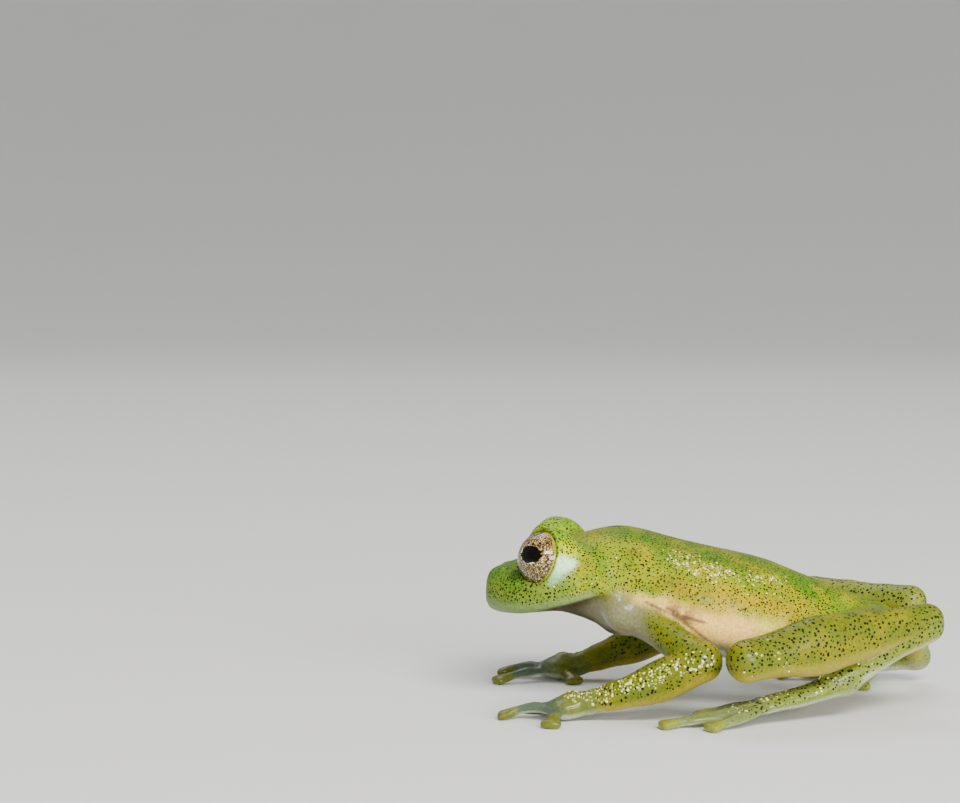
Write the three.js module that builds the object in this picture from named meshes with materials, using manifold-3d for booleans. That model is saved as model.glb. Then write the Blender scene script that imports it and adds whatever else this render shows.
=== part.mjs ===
// A glass frog at rest on a level surface, life size, in named pieces that meet with thin cuts.
// Millimetres, +Z up. The head points along -Y, the frog's left side is +X, and its feet stand on Z = 0.
// The animal is built as lofted tubes round its spine and limb bones, joined and parted by booleans.
import * as THREE from "three";
import { mergeVertices } from "three/addons/utils/BufferGeometryUtils.js";
import Module from "manifold-3d";

const wasm = await Module();
wasm.setup();

// Driving sizes. Every place below is for an animal of STUDY_LENGTH, and S scales it.
const STUDY_LENGTH = 22;
const SNOUT_VENT = 22;
const S = SNOUT_VENT / STUDY_LENGTH;
const GAP = 0.3;
const EYE_RADIUS = 1.24 * S;
const EYE_GAP = 0.22;
const EYE_LEAN = 0.2 * S;
const ORBIT_RADIUS = 1.72 * S;
const ORBIT_SETBACK = 0.25 * S;
const LID_RING = 1.5 * S;
const LID_RADIUS = 0.2 * S;
const LIP_RADIUS = 0.17 * S;
const MOUTH_LINE_RADIUS = 0.13 * S;
const FINGER_RADIUS = 0.29 * S;
const DISC_RADIUS = 0.56 * S;
const TOE_DISC_RADIUS = 0.58 * S;
const PAD_HEIGHT = 0.26 * S;
const WEB_THICKNESS = 0.5 * S;
const BOX = 60 * S;

// The origin lies under the middle of the whole stance, so the trunk's own midline,
// where every place below is measured from, stands a little off it.
const MIDLINE_X = 1.37 * S;
const MIDLINE_Y = 0.44 * S;

const UP = new THREE.Vector3(0, 0, 1);
const at = (x, y, z) => new THREE.Vector3(x, y, z).multiplyScalar(S);
const lerp = THREE.MathUtils.lerp;
const radians = THREE.MathUtils.degToRad;

// Colours of the living animal, one material for each kind of surface.
const paint = (color, roughness, opacity = 1) =>
  new THREE.MeshStandardMaterial({
    color,
    roughness,
    metalness: 0,
    opacity,
    transparent: opacity < 1,
  });
const skinGreen = paint(0xa3b43a, 0.35);
const limbGreen = paint(0xa9b36a, 0.35);
const digitPale = paint(0xa8b5a0, 0.3);
const eyeGold = paint(0xc9b08c, 0.1);

// The solid of a closed geometry, and back again.
function solid(geometry) {
  const bare = new THREE.BufferGeometry();
  bare.setAttribute("position", geometry.getAttribute("position"));
  if (geometry.index) bare.setIndex(geometry.index);
  const merged = mergeVertices(bare, 1e-4);
  return new wasm.Manifold(
    new wasm.Mesh({
      numProp: 3,
      vertProperties: new Float32Array(merged.attributes.position.array),
      triVerts: new Uint32Array(merged.index.array),
    }),
  );
}

function geometryOf(manifold) {
  const mesh = manifold.getMesh();
  const positions = new Float32Array(mesh.numVert * 3);
  for (let i = 0; i < mesh.numVert; i++) {
    const from = i * mesh.numProp;
    positions.set(mesh.vertProperties.subarray(from, from + 3), i * 3);
  }
  const geometry = new THREE.BufferGeometry();
  geometry.setAttribute("position", new THREE.BufferAttribute(positions, 3));
  geometry.setIndex(new THREE.BufferAttribute(mesh.triVerts, 1));
  geometry.computeVertexNormals();
  return geometry;
}

const unite = (...solids) => solids.reduce((whole, piece) => whole.add(piece));

// The largest closed surface of a cut solid.
function largest(manifold) {
  const pieces = manifold.decompose();
  return pieces.reduce((a, b) => (a.volume() > b.volume() ? a : b));
}

// Keeps what lies on the side of a plane that its normal points to, from a short way past it.
function keepBeyond(manifold, point, normal, distance) {
  const box = new THREE.BoxGeometry(BOX, BOX, BOX);
  const turn = new THREE.Quaternion().setFromUnitVectors(UP, normal);
  const centre = point.clone().addScaledVector(normal, distance + BOX / 2);
  box.applyQuaternion(turn);
  box.translate(centre.x, centre.y, centre.z);
  return manifold.intersect(solid(box));
}

const aboveFloor = (manifold) =>
  keepBeyond(manifold, new THREE.Vector3(), UP, 0);

// A closed skin over rings of points, with a pole at each end.
function skinOver(rings, firstPole, lastPole) {
  const sides = rings[0].length;
  const points = [firstPole, ...rings.flat(), lastPole];
  const positions = new Float32Array(points.flatMap((p) => [p.x, p.y, p.z]));
  const faces = [];
  const last = points.length - 1;
  for (let j = 0; j < sides; j++) {
    const next = (j + 1) % sides;
    faces.push(0, 1 + next, 1 + j);
    for (let i = 0; i + 1 < rings.length; i++) {
      const a = 1 + i * sides;
      const b = a + sides;
      faces.push(a + j, a + next, b + next, a + j, b + next, b + j);
    }
    const end = last - sides;
    faces.push(end + j, end + next, last);
  }
  const geometry = new THREE.BufferGeometry();
  geometry.setAttribute("position", new THREE.BufferAttribute(positions, 3));
  geometry.setIndex(faces);
  const made = solid(geometry);
  return made.volume() > 0 ? made : solid(turnedOut(geometry));
}

function turnedOut(geometry) {
  const index = geometry.index.array;
  for (let i = 0; i < index.length; i += 3)
    [index[i + 1], index[i + 2]] = [index[i + 2], index[i + 1]];
  return geometry;
}

// Reads a table of rows [t, value, value ...] with smooth steps between its rows.
function readTable(table, t) {
  const after = table.findIndex((row) => row[0] >= t);
  if (after <= 0) return table[after === 0 ? 0 : table.length - 1].slice(1);
  const [a, b] = [table[after - 1], table[after]];
  const share = THREE.MathUtils.smoothstep(t, a[0], b[0]);
  return a.slice(1).map((value, k) => lerp(value, b[k + 1], share));
}

// A tube of oval section along a smooth path, with a rounded end at each side.
// Each row of girth is [share of the length, half width, half height].
function tube(path, girth, { sides = 14, steps = 10, ends, endRings = 4 } = {}) {
  const curve = new THREE.CatmullRomCurve3(path, false, "centripetal");
  const rings = [];
  const poles = [];
  const ring = (t, along, share) => {
    const tangent = curve.getTangentAt(t);
    const side = new THREE.Vector3().crossVectors(tangent, UP).normalize();
    const up = new THREE.Vector3().crossVectors(side, tangent);
    const centre = curve.getPointAt(t).addScaledVector(tangent, along);
    const [wide, high] = readTable(girth, t).map((r) => r * S * share);
    return Array.from({ length: sides }, (_, j) => {
      const turn = (2 * Math.PI * j) / sides;
      return centre
        .clone()
        .addScaledVector(side, wide * Math.cos(turn))
        .addScaledVector(up, high * Math.sin(turn));
    });
  };
  const pole = (t, along) =>
    curve.getPointAt(t).addScaledVector(curve.getTangentAt(t), along);
  const bulge = ends ?? [girth[0], girth.at(-1)].map((row) => Math.min(row[1], row[2]));
  const [near, far] = bulge.map((length) => length * S);
  poles.push(pole(0, -near));
  for (let i = 1; i < endRings; i++) {
    const turn = (Math.PI / 2) * (i / endRings);
    rings.push(ring(0, -near * Math.cos(turn), Math.sin(turn)));
  }
  for (let i = 0; i <= steps; i++) rings.push(ring(i / steps, 0, 1));
  for (let i = endRings - 1; i > 0; i--) {
    const turn = (Math.PI / 2) * (i / endRings);
    rings.push(ring(1, far * Math.cos(turn), Math.sin(turn)));
  }
  poles.push(pole(1, far));
  return skinOver(rings, poles[0], poles[1]);
}

// An oval ball turned so that its long axis follows a heading in the floor plane.
function ovalBall(centre, half, heading = 0, detail = 14) {
  const ball = new THREE.SphereGeometry(1, detail, Math.ceil(detail / 2));
  ball.scale(half.x, half.y, half.z);
  ball.rotateZ(heading);
  ball.translate(centre.x, centre.y, centre.z);
  return solid(ball);
}

// The trunk from snout to vent. Each row is
// [y, half width, top, widest level, bottom, power of the lower curve].
const TRUNK = [
  [-12.08, 0.0, 5.75, 5.75, 5.75, 2],
  [-12.02, 0.85, 6.25, 5.7, 5.25, 2.1],
  [-11.8, 1.6, 6.62, 5.62, 4.98, 2.3],
  [-11.2, 2.45, 7.0, 5.58, 4.8, 2.8],
  [-10.3, 3.28, 7.45, 5.58, 4.74, 3.2],
  [-9.2, 3.85, 7.92, 5.75, 4.72, 3.0],
  [-8.1, 4.2, 8.4, 5.98, 4.62, 2.3],
  [-7.1, 4.28, 8.78, 6.15, 4.2, 1.8],
  [-6.1, 4.12, 9.06, 6.2, 3.72, 1.65],
  [-5.1, 3.9, 9.2, 6.15, 3.52, 1.8],
  [-4.0, 4.1, 9.05, 5.9, 3.5, 2.1],
  [-2.4, 4.55, 8.62, 5.5, 3.3, 2.3],
  [-0.6, 4.85, 8.2, 5.05, 2.78, 2.35],
  [1.2, 4.72, 7.84, 4.75, 2.38, 2.35],
  [2.6, 4.1, 7.48, 4.6, 2.32, 2.3],
  [4.0, 3.25, 6.94, 4.5, 2.48, 2.2],
  [5.6, 2.4, 6.34, 4.42, 2.78, 2.1],
  [7.2, 1.8, 5.72, 4.3, 3.05, 2.1],
  [8.5, 1.3, 5.22, 4.22, 3.32, 2],
  [9.25, 0.75, 4.85, 4.2, 3.65, 2],
  [9.5, 0.0, 4.25, 4.25, 4.25, 2],
];
const TRUNK_SIDES = 28;
const TRUNK_STEPS = 2;
const BACK_POWER = 2.25;

// The columns of the trunk table as smooth curves through its rows.
const columns = (pick) =>
  new THREE.CatmullRomCurve3(TRUNK.map((row) => new THREE.Vector3(...pick(row))));
const outline = columns(([y, wide, , , , power]) => [y, wide, power]);
const levels = columns(([, , top, middle, bottom]) => [top, middle, bottom]);

function trunkSection(row) {
  const share = row / (TRUNK.length - 1);
  const { x: y, y: wide, z: power } = outline.getPoint(share);
  const { x: top, y: middle, z: bottom } = levels.getPoint(share);
  return { y, wide: Math.max(wide, 0), top, middle, bottom, power };
}

// A point on the trunk's skin at a turn about its long axis, pushed out by grow.
function trunkPoint(section, turn, grow = 0) {
  const [c, s] = [Math.cos(turn), Math.sin(turn)];
  const power = 2 / (s > 0 ? BACK_POWER : section.power);
  const high = s > 0 ? section.top - section.middle : section.middle - section.bottom;
  const round = (v) => Math.sign(v) * Math.abs(v) ** power;
  return at(
    round(c) * (section.wide + grow),
    section.y,
    section.middle + round(s) * (high + grow),
  );
}

function trunk(grow = 0) {
  const rings = [];
  const count = (TRUNK.length - 1) * TRUNK_STEPS;
  for (let i = 1; i < count; i++) {
    const section = trunkSection(i / TRUNK_STEPS);
    rings.push(
      Array.from({ length: TRUNK_SIDES }, (_, j) =>
        trunkPoint(section, (2 * Math.PI * j) / TRUNK_SIDES, grow),
      ),
    );
  }
  const [first, last] = [TRUNK[0], TRUNK.at(-1)];
  return skinOver(
    rings,
    at(0, first[0] - grow, first[3]),
    at(0, last[0] + grow, last[3]),
  );
}

// The row of the trunk table at which a section stands at the wanted y.
function rowAt(y) {
  let [low, high] = [0, TRUNK.length - 1];
  for (let i = 0; i < 40; i++) {
    const middle = (low + high) / 2;
    if (trunkSection(middle).y < y) low = middle;
    else high = middle;
  }
  return low;
}

// Eyes look forward, outward and a little up from the corners of the head.
const EYE_CENTRE = { x: 2.86, y: -8.72, z: 7.74 };
const EYE_FROM_FORWARD = radians(42);
const EYE_TILT = radians(15);
const EYE_BACK = 0.12 * S;

function eyeFrame(sign) {
  const centre = at(sign * EYE_CENTRE.x, EYE_CENTRE.y, EYE_CENTRE.z);
  const axis = new THREE.Vector3(
    sign * Math.sin(EYE_FROM_FORWARD) * Math.cos(EYE_TILT),
    -Math.cos(EYE_FROM_FORWARD) * Math.cos(EYE_TILT),
    Math.sin(EYE_TILT),
  );
  return { centre, axis };
}

function sphereAt(centre, radius, detail) {
  const ball = new THREE.SphereGeometry(radius, detail, Math.ceil(detail * 0.55));
  ball.translate(centre.x, centre.y, centre.z);
  return solid(ball);
}

function ringAt(centre, axis, radius, thickness, along) {
  const ring = new THREE.TorusGeometry(radius, thickness, 6, 20);
  ring.applyQuaternion(new THREE.Quaternion().setFromUnitVectors(UP, axis));
  const place = centre.clone().addScaledVector(axis, along);
  ring.translate(place.x, place.y, place.z);
  return solid(ring);
}

function eyeball(sign) {
  const { centre, axis } = eyeFrame(sign);
  const ball = sphereAt(centre.clone().addScaledVector(axis, EYE_LEAN), EYE_RADIUS, 20);
  return keepBeyond(ball, centre, axis, EYE_BACK);
}

// The pocket that an eye sits in, its gap all round.
function eyePocket(sign) {
  const { centre, axis } = eyeFrame(sign);
  const ball = sphereAt(
    centre.clone().addScaledVector(axis, EYE_LEAN),
    EYE_RADIUS + EYE_GAP,
    18,
  );
  return keepBeyond(ball, centre, axis, EYE_BACK - EYE_GAP);
}

// The mouth runs round the snout from corner to corner: rows of [y, z] of its line.
const MOUTH = [
  [-7.0, 5.8],
  [-8.0, 5.52],
  [-9.0, 5.3],
  [-10.0, 5.18],
  [-11.0, 5.18],
  [-11.75, 5.3],
];
const MOUTH_FRONT = -12.0;

// The mouth's line on the head's skin, raised by some height and sunk into the skin.
function mouthPath(raise, sink) {
  const side = (sign) =>
    MOUTH.map(([y, z]) => {
      const section = trunkSection(rowAt(y));
      const share = (section.middle - z - raise) / (section.middle - section.bottom);
      const turn = -Math.asin(Math.max(share, 0) ** (section.power / 2));
      return trunkPoint(section, sign > 0 ? turn : Math.PI - turn, -sink);
    });
  const front = at(0, MOUTH_FRONT + sink, MOUTH.at(-1)[1] + raise + 0.03);
  return [...side(1), front, ...side(-1).reverse()];
}

function headSolid() {
  let head = keepBeyond(trunk(), NECK, new THREE.Vector3(0, -1, 0), GAP / 2);
  for (const sign of [1, -1]) {
    const { centre, axis } = eyeFrame(sign);
    head = unite(
      head,
      sphereAt(centre.clone().addScaledVector(axis, -ORBIT_SETBACK), ORBIT_RADIUS, 22),
      ringAt(centre, axis, LID_RING, LID_RADIUS, 0.4 * S),
      sphereAt(nostril(sign, 0), NOSTRIL_RADIUS, 10),
    );
  }
  const edging = { sides: 5, steps: 18, endRings: 2 };
  const width = (radius) => [[0, radius / S, radius / S]];
  const lip = tube(mouthPath(0.16, 0.08), width(LIP_RADIUS), edging);
  const line = tube(mouthPath(-0.1, -0.02), width(MOUTH_LINE_RADIUS), edging);
  head = head.add(lip).subtract(line);
  for (const sign of [1, -1])
    head = head
      .subtract(eyePocket(sign))
      .subtract(sphereAt(nostril(sign, 1), NOSTRIL_PIT, 8));
  return largest(head);
}

// A nostril's mound low in the skin, and its pit a step further out.
const NOSTRIL_RADIUS = 0.3 * S;
const NOSTRIL_PIT = 0.13 * S;

function nostril(sign, step) {
  const section = trunkSection(rowAt(-11.15));
  const turn = sign > 0 ? radians(62) : radians(118);
  const p = trunkPoint(section, turn, -0.12);
  return p.add(at(sign * 0.12, -0.14, 0.16).multiplyScalar(step));
}

const NECK = at(0, -5.35, 0);

// Limb joints, left side first. The right side isn't its mirror: the animal is mid-step.
const PAD = PAD_HEIGHT / S;
const LIMBS = {
  left: {
    sign: 1,
    shoulder: at(3.0, -4.4, 5.1),
    elbow: at(6.6, -0.6, 3.2),
    forearmMiddle: at(6.4, -3.4, 1.85),
    wrist: at(6.05, -6.2, 0.74),
    palm: at(5.95, -7.5, 0.52),
    fingers: [
      [at(3.9, -6.85, PAD), 0.45],
      [at(4.1, -9.4, PAD), 0.5],
      [at(6.05, -10.65, PAD), 0.62],
      [at(8.4, -8.02, PAD), 0.55],
    ],
    hip: at(1.3, 8.2, 4.05),
    knee: at(8.1, 1.6, 3.55),
    heel: at(2.65, 10.65, 4.55),
    ankle: at(4.3, 6.5, 1.85),
    heading: 22,
  },
  right: {
    sign: -1,
    shoulder: at(-3.0, -4.5, 5.1),
    elbow: at(-6.9, -2.7, 2.75),
    forearmMiddle: at(-6.8, -5.2, 1.75),
    wrist: at(-6.5, -7.7, 0.84),
    palm: at(-6.45, -8.9, 0.55),
    fingers: [
      [at(-4.8, -7.75, PAD), 0.45],
      [at(-4.5, -11.95, PAD), 0.5],
      [at(-7.4, -11.95, PAD), 0.62],
      [at(-9.3, -10.1, PAD), 0.55],
    ],
    hip: at(-1.3, 8.2, 4.05),
    knee: at(-8.2, 1.5, 4.1),
    heel: at(-2.8, 10.1, 4.9),
    ankle: at(-7.4, 10.72, 1.45),
    heading: 20,
  },
};

// Girths along each bone, as rows for tube().
const GIRTH = {
  upperArm: [[0, 1.05, 1.0], [0.35, 0.78, 0.8], [1, 0.9, 0.92]],
  forearm: [[0, 0.95, 1.0], [0.35, 0.96, 1.06], [0.75, 0.74, 0.84], [1, 0.6, 0.64]],
  thigh: [[0, 1.15, 1.2], [0.45, 1.3, 1.4], [1, 1.05, 1.12]],
  shank: [[0, 1.02, 1.1], [0.35, 1.2, 1.46], [0.75, 1.05, 1.2], [1, 0.95, 1.0]],
  tarsus: [[0, 0.86, 0.92], [0.5, 0.72, 0.82], [1, 0.66, 0.7]],
};

const widened = ([t, wide, high]) => [t, wide + GAP, high + GAP];

// Parts two tubes that meet at a joint, along the plane that halves the angle between them.
function partAt(joint, towardFirst, towardSecond, first, second) {
  const a = towardFirst.clone().sub(joint).normalize();
  const b = towardSecond.clone().sub(joint).normalize();
  const normal = a.sub(b).normalize();
  return [
    keepBeyond(first, joint, normal, GAP / 2),
    keepBeyond(second, joint, normal.clone().negate(), GAP / 2),
  ];
}

// A finger or toe arches from its root to a round disc on the floor.
function digitCurve(root, tip, arch) {
  const middle = root.clone().lerp(tip, 0.55);
  middle.z = Math.max(arch * S, lerp(root.z, tip.z, 0.62));
  return [root, middle, tip];
}

function digit(path, disc, girth = FINGER_RADIUS) {
  const length = path[0].distanceTo(path[2]);
  const share = (fromTip) => Math.max(0.05, 1 - fromTip / length);
  const [wide, round] = [disc / S, girth / S];
  return tube(
    path,
    [
      [0, round * 1.2, round * 1.1],
      [share(disc * 1.9), round, round * 0.95],
      [share(disc * 1.25), round * 0.98, round * 0.9],
      [share(disc * 0.35), wide * 0.95, 0.33],
      [1, wide, 0.33],
    ],
    { sides: 8, steps: 8, ends: [round, wide * 0.8], endRings: 3 },
  );
}

// The skin between two digits: an even sheet that follows both, its outer edge hollow.
const WEB_ALONG = 4;
const WEB_ACROSS = 4;
const WEB_HOLLOW = 0.26;

function web(pathA, pathB, reachA, reachB) {
  const [curveA, curveB] = [pathA, pathB].map(
    (path) => new THREE.CatmullRomCurve3(path, false, "centripetal"),
  );
  const half = WEB_THICKNESS / 2;
  const face = (lift) => {
    const points = [];
    for (let i = 0; i <= WEB_ALONG; i++)
      for (let j = 0; j <= WEB_ACROSS; j++) {
        const u = j / WEB_ACROSS;
        const reach = lerp(reachA, reachB, u) * (1 - WEB_HOLLOW * Math.sin(Math.PI * u));
        const t = reach * lerp(0.12, 1, i / WEB_ALONG);
        const p = curveA.getPointAt(t).lerp(curveB.getPointAt(t), u);
        p.z = Math.max(p.z, half + 0.05 * S) + lift;
        points.push(p);
      }
    return points;
  };
  return sheet(face(half), face(-half), WEB_ALONG, WEB_ACROSS);
}

// A closed sheet between two grids of points with the same split on both faces.
function sheet(upper, lower, rows, columnsAcross) {
  const wide = columnsAcross + 1;
  const below = upper.length;
  const faces = [];
  const quad = (a, b, c, d) => faces.push(a, b, c, a, c, d);
  for (let i = 0; i < rows; i++)
    for (let j = 0; j < columnsAcross; j++) {
      const k = i * wide + j;
      quad(k, k + 1, k + wide + 1, k + wide);
      faces.push(below + k, below + k + wide + 1, below + k + 1);
      faces.push(below + k, below + k + wide, below + k + wide + 1);
    }
  const rim = [];
  for (let j = 0; j < columnsAcross; j++) rim.push(j);
  for (let i = 0; i < rows; i++) rim.push(i * wide + columnsAcross);
  for (let j = columnsAcross; j > 0; j--) rim.push(rows * wide + j);
  for (let i = rows; i > 0; i--) rim.push(i * wide);
  rim.forEach((a, n) => {
    const b = rim[(n + 1) % rim.length];
    quad(b, a, below + a, below + b);
  });
  const positions = [...upper, ...lower].flatMap((p) => [p.x, p.y, p.z]);
  const geometry = new THREE.BufferGeometry();
  geometry.setAttribute(
    "position",
    new THREE.BufferAttribute(new Float32Array(positions), 3),
  );
  geometry.setIndex(faces);
  const made = solid(geometry);
  return made.volume() > 0 ? made : solid(turnedOut(geometry));
}

// A hand: palm, four fingers with discs, and webs that are widest between the outer two.
const FINGER_WEBS = [0.36, 0.42, 0.6];

function handSolid({ wrist, palm, fingers }) {
  const heading = Math.atan2(palm.y - wrist.y, palm.x - wrist.x);
  const paths = fingers.map(([tip, arch]) => digitCurve(palm, tip, arch));
  return aboveFloor(
    unite(
      tube([wrist, palm], [[0, 0.6, 0.64], [1, 0.95, 0.46]], {
        steps: 4,
        ends: [0.5, 0.6],
      }),
      ovalBall(palm, at(1.0, 1.1, 0.48), heading - Math.PI / 2),
      ...paths.map((path) => digit(path, DISC_RADIUS)),
      ...FINGER_WEBS.map((reach, i) => web(paths[i], paths[i + 1], reach, reach)),
    ),
  );
}

// Toes one to five: length, angle outward from the foot's heading, height of the arch,
// how far along the sole they leave it, and how far the web to the next one reaches.
const TOES = [
  [4.2, -62, 0.6, 0.45, 0.5],
  [5.7, -42, 0.7, 0.55, 0.55],
  [7.4, -16, 0.7, 0.75, 0.66],
  [9.65, 0, 0.55, 0.9, 0.72],
  [7.8, 10, 0.5, 0.75, 0],
];

function toeTips({ sign, ankle, heading }) {
  return TOES.map(([length, angle]) => {
    const turn = radians(heading + angle);
    const step = at(sign * Math.sin(turn) * length, -Math.cos(turn) * length, 0);
    const tip = ankle.clone().add(step);
    tip.z = PAD_HEIGHT;
    return tip;
  });
}

// A foot: a sole that slopes down from the ankle, five toes with discs, and their webs.
function footSolid(limb) {
  const { ankle } = limb;
  const tips = toeTips(limb);
  const middle = ankle.clone().lerp(tips[3], 0.45);
  middle.z = ankle.z * 0.5;
  const sole = tube(
    [ankle, ankle.clone().lerp(middle, 0.5), middle],
    [[0, 0.62, 0.64], [0.5, 0.82, 0.54], [1, 0.95, 0.44]],
    { steps: 8, ends: [0.6, 0.8] },
  );
  const paths = TOES.map(([, , arch, leave], i) =>
    digitCurve(ankle.clone().lerp(middle, leave), tips[i], arch),
  );
  const webs = TOES.slice(0, 4).map(([, , , , reach], i) =>
    web(paths[i], paths[i + 1], reach, TOES[i + 1][4] || reach),
  );
  const toes = paths.map((path) => digit(path, TOE_DISC_RADIUS));
  return aboveFloor(unite(sole, ...toes, ...webs));
}

// One side's arm and leg, parted at each joint and cut clear of the trunk.
function limbSolids(limb, clearTrunk) {
  const { shoulder, elbow, forearmMiddle, wrist, palm } = limb;
  const { hip, knee, heel, ankle } = limb;
  let upperArm = tube([shoulder, elbow], GIRTH.upperArm).subtract(clearTrunk);
  let forearm = aboveFloor(tube([elbow, forearmMiddle, wrist], GIRTH.forearm));
  let hand = handSolid(limb);
  [upperArm, forearm] = partAt(elbow, shoulder, wrist, upperArm, forearm);
  [forearm, hand] = partAt(wrist, elbow, palm, forearm, hand);
  let thigh = tube([hip, knee], GIRTH.thigh, { sides: 16 }).subtract(clearTrunk);
  let shank = tube([knee, heel], GIRTH.shank, { sides: 16 }).subtract(clearTrunk);
  let tarsus = tube([heel, ankle], GIRTH.tarsus);
  let foot = footSolid(limb);
  const outward = new THREE.Vector3(limb.sign, 0, 0);
  thigh = keepBeyond(thigh, new THREE.Vector3(), outward, GAP / 2);
  thigh = thigh.subtract(tube([heel, ankle], GIRTH.tarsus.map(widened)));
  [thigh, shank] = partAt(knee, hip, heel, thigh, shank);
  [shank, tarsus] = partAt(heel, knee, ankle, shank, tarsus);
  const forward = toeTips(limb)[3];
  [tarsus, foot] = partAt(ankle, heel, forward, tarsus, foot);
  return { upperArm, forearm, hand, thigh, shank, tarsus, foot };
}

const frog = new THREE.Group();
frog.name = "glass_frog";
const stance = new THREE.Group();
stance.position.set(MIDLINE_X, MIDLINE_Y, 0);
frog.add(stance);

function addNode(name, manifold, material) {
  const mesh = new THREE.Mesh(geometryOf(largest(manifold)), material);
  mesh.name = name;
  stance.add(mesh);
}

addNode("head", headSolid(), skinGreen);
addNode(
  "torso",
  keepBeyond(trunk(), NECK, new THREE.Vector3(0, 1, 0), GAP / 2),
  skinGreen,
);
const clearTrunk = trunk(GAP);
for (const [side, limb] of Object.entries(LIMBS)) {
  const pieces = limbSolids(limb, clearTrunk);
  addNode(`eye_${side}`, eyeball(limb.sign), eyeGold);
  addNode(`upper_arm_${side}`, pieces.upperArm, limbGreen);
  addNode(`forearm_${side}`, pieces.forearm, limbGreen);
  addNode(`hand_${side}`, pieces.hand, digitPale);
  addNode(`thigh_${side}`, pieces.thigh, limbGreen);
  addNode(`shank_${side}`, pieces.shank, limbGreen);
  addNode(`tarsus_${side}`, pieces.tarsus, limbGreen);
  addNode(`foot_${side}`, pieces.foot, digitPale);
}

export default frog;
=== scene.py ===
# %% [markdown]
# # A glass frog at rest
# The animal is 22 mm long from snout to vent. Its skin is thin, moist and a little
# see-through, so the lesson makes one closed skin over head, trunk and limbs, two wet
# eyes, and a scatter of tiny warts that catch the light. The solids behind them are
# loaded first, and nothing below moves them.

# %% Load the frame
import math
import bpy
import numpy as np
from mathutils import Matrix, Vector


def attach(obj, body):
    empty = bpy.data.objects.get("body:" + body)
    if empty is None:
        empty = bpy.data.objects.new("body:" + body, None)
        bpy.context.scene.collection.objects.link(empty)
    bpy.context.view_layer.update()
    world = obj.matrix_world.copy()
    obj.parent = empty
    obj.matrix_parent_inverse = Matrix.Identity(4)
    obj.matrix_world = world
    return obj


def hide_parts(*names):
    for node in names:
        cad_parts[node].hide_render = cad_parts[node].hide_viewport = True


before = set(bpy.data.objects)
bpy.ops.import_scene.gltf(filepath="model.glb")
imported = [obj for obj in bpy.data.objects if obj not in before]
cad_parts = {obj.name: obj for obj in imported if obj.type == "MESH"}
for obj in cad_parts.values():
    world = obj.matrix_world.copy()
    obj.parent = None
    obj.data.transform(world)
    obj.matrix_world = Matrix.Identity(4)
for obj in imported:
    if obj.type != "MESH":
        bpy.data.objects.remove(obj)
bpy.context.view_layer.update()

# %% [markdown]
# Sizes below are in millimetres, measured from the trunk's own midline, because they
# are easier to read that way on an animal of this size. One function turns them into
# metres in the shared frame, whose origin lies under the middle of the whole stance.

# %% Units and places
MM = 0.001
MIDLINE = np.array([1.37, 0.44, 0.0])
UP = np.array([0.0, 0.0, 1.0])


def point(x, y, z):
    return np.array([x, y, z], dtype=float)


def to_frame(places):
    return (np.asarray(places) + MIDLINE) * MM


def smoothstep(low, high, value):
    share = np.clip((value - low) / (high - low), 0, 1)
    return share * share * (3 - 2 * share)


def unit(vector):
    return vector / np.linalg.norm(vector)


print("the midline stands at", to_frame((0, 0, 0)), "in the frame")

# %% [markdown]
# The camera comes next, so that every later choice can be judged in the picture. It
# stands on the animal's left, 14 cm away with a long lens, and looks a little down. The
# frog isn't in the middle of the picture, so the camera is turned until a known point
# falls on its own pixel. That keeps the lens unshifted.

# %% Camera
PICTURE = (960, 803)
LENS = 100.0
SENSOR = 36.0
AIM = point(0, 0, 3.5)
AIM_PIXEL = (716, 636)
AWAY = 140.0
AZIMUTH, ELEVATION = math.radians(91.0), math.radians(8.5)


def aimed_camera():
    back = point(
        math.sin(AZIMUTH) * math.cos(ELEVATION),
        -math.cos(AZIMUTH) * math.cos(ELEVATION),
        math.sin(ELEVATION),
    )
    pixels = LENS / SENSOR * PICTURE[0]
    across = (AIM_PIXEL[0] - PICTURE[0] / 2) / pixels
    down = (AIM_PIXEL[1] - PICTURE[1] / 2) / pixels
    # Yaw and pitch of a level camera that puts the aim at these slopes.
    aim = -back
    pitch = math.asin(aim[2]) + math.atan(down)
    for _ in range(20):
        along = math.hypot(aim[0], aim[1])
        reach = along * math.cos(pitch) + aim[2] * math.sin(pitch)
        turn = math.asin(across * reach / along)
        along_ahead = along * math.cos(turn)
        rise = math.atan2(aim[2], along_ahead)
        pitch = rise + math.atan(down)
    heading = math.atan2(aim[1], aim[0]) + turn
    ahead = point(
        math.cos(heading) * math.cos(pitch),
        math.sin(heading) * math.cos(pitch),
        math.sin(pitch),
    )
    right = unit(np.cross(ahead, UP))
    top = np.cross(right, ahead)
    place = to_frame(AIM + back * AWAY)
    pose = Matrix([[right[i], top[i], -ahead[i], place[i]] for i in range(3)] + [[0, 0, 0, 1]])
    lens = bpy.data.cameras.new("side_camera")
    lens.lens, lens.sensor_width, lens.clip_start = LENS, SENSOR, 0.005
    camera = bpy.data.objects.new("side_camera", lens)
    camera.matrix_world = pose
    bpy.context.scene.collection.objects.link(camera)
    bpy.context.scene.camera = camera
    return camera


camera = aimed_camera()
print("the camera stands at", [round(v, 4) for v in camera.location])

# %% [markdown]
# Skin has no seams, so it can't be put together from tubes and balls that merely
# touch. The way chosen here is a distance field: every form gives, for any point in
# space, how far that point lies outside it, and two forms are joined by a rounded
# minimum of their distances. The rounding is a length, so a thigh can flow into the
# rump over half a millimetre while a knee only creases against the flank.

# %% Joining forms
def rounded_min(a, b, blend):
    reach = np.maximum(blend - np.abs(a - b), 0) / blend
    return np.minimum(a, b) - reach * reach * blend * 0.25


def rounded_max(a, b, blend):
    return -rounded_min(-a, -b, blend)


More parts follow.
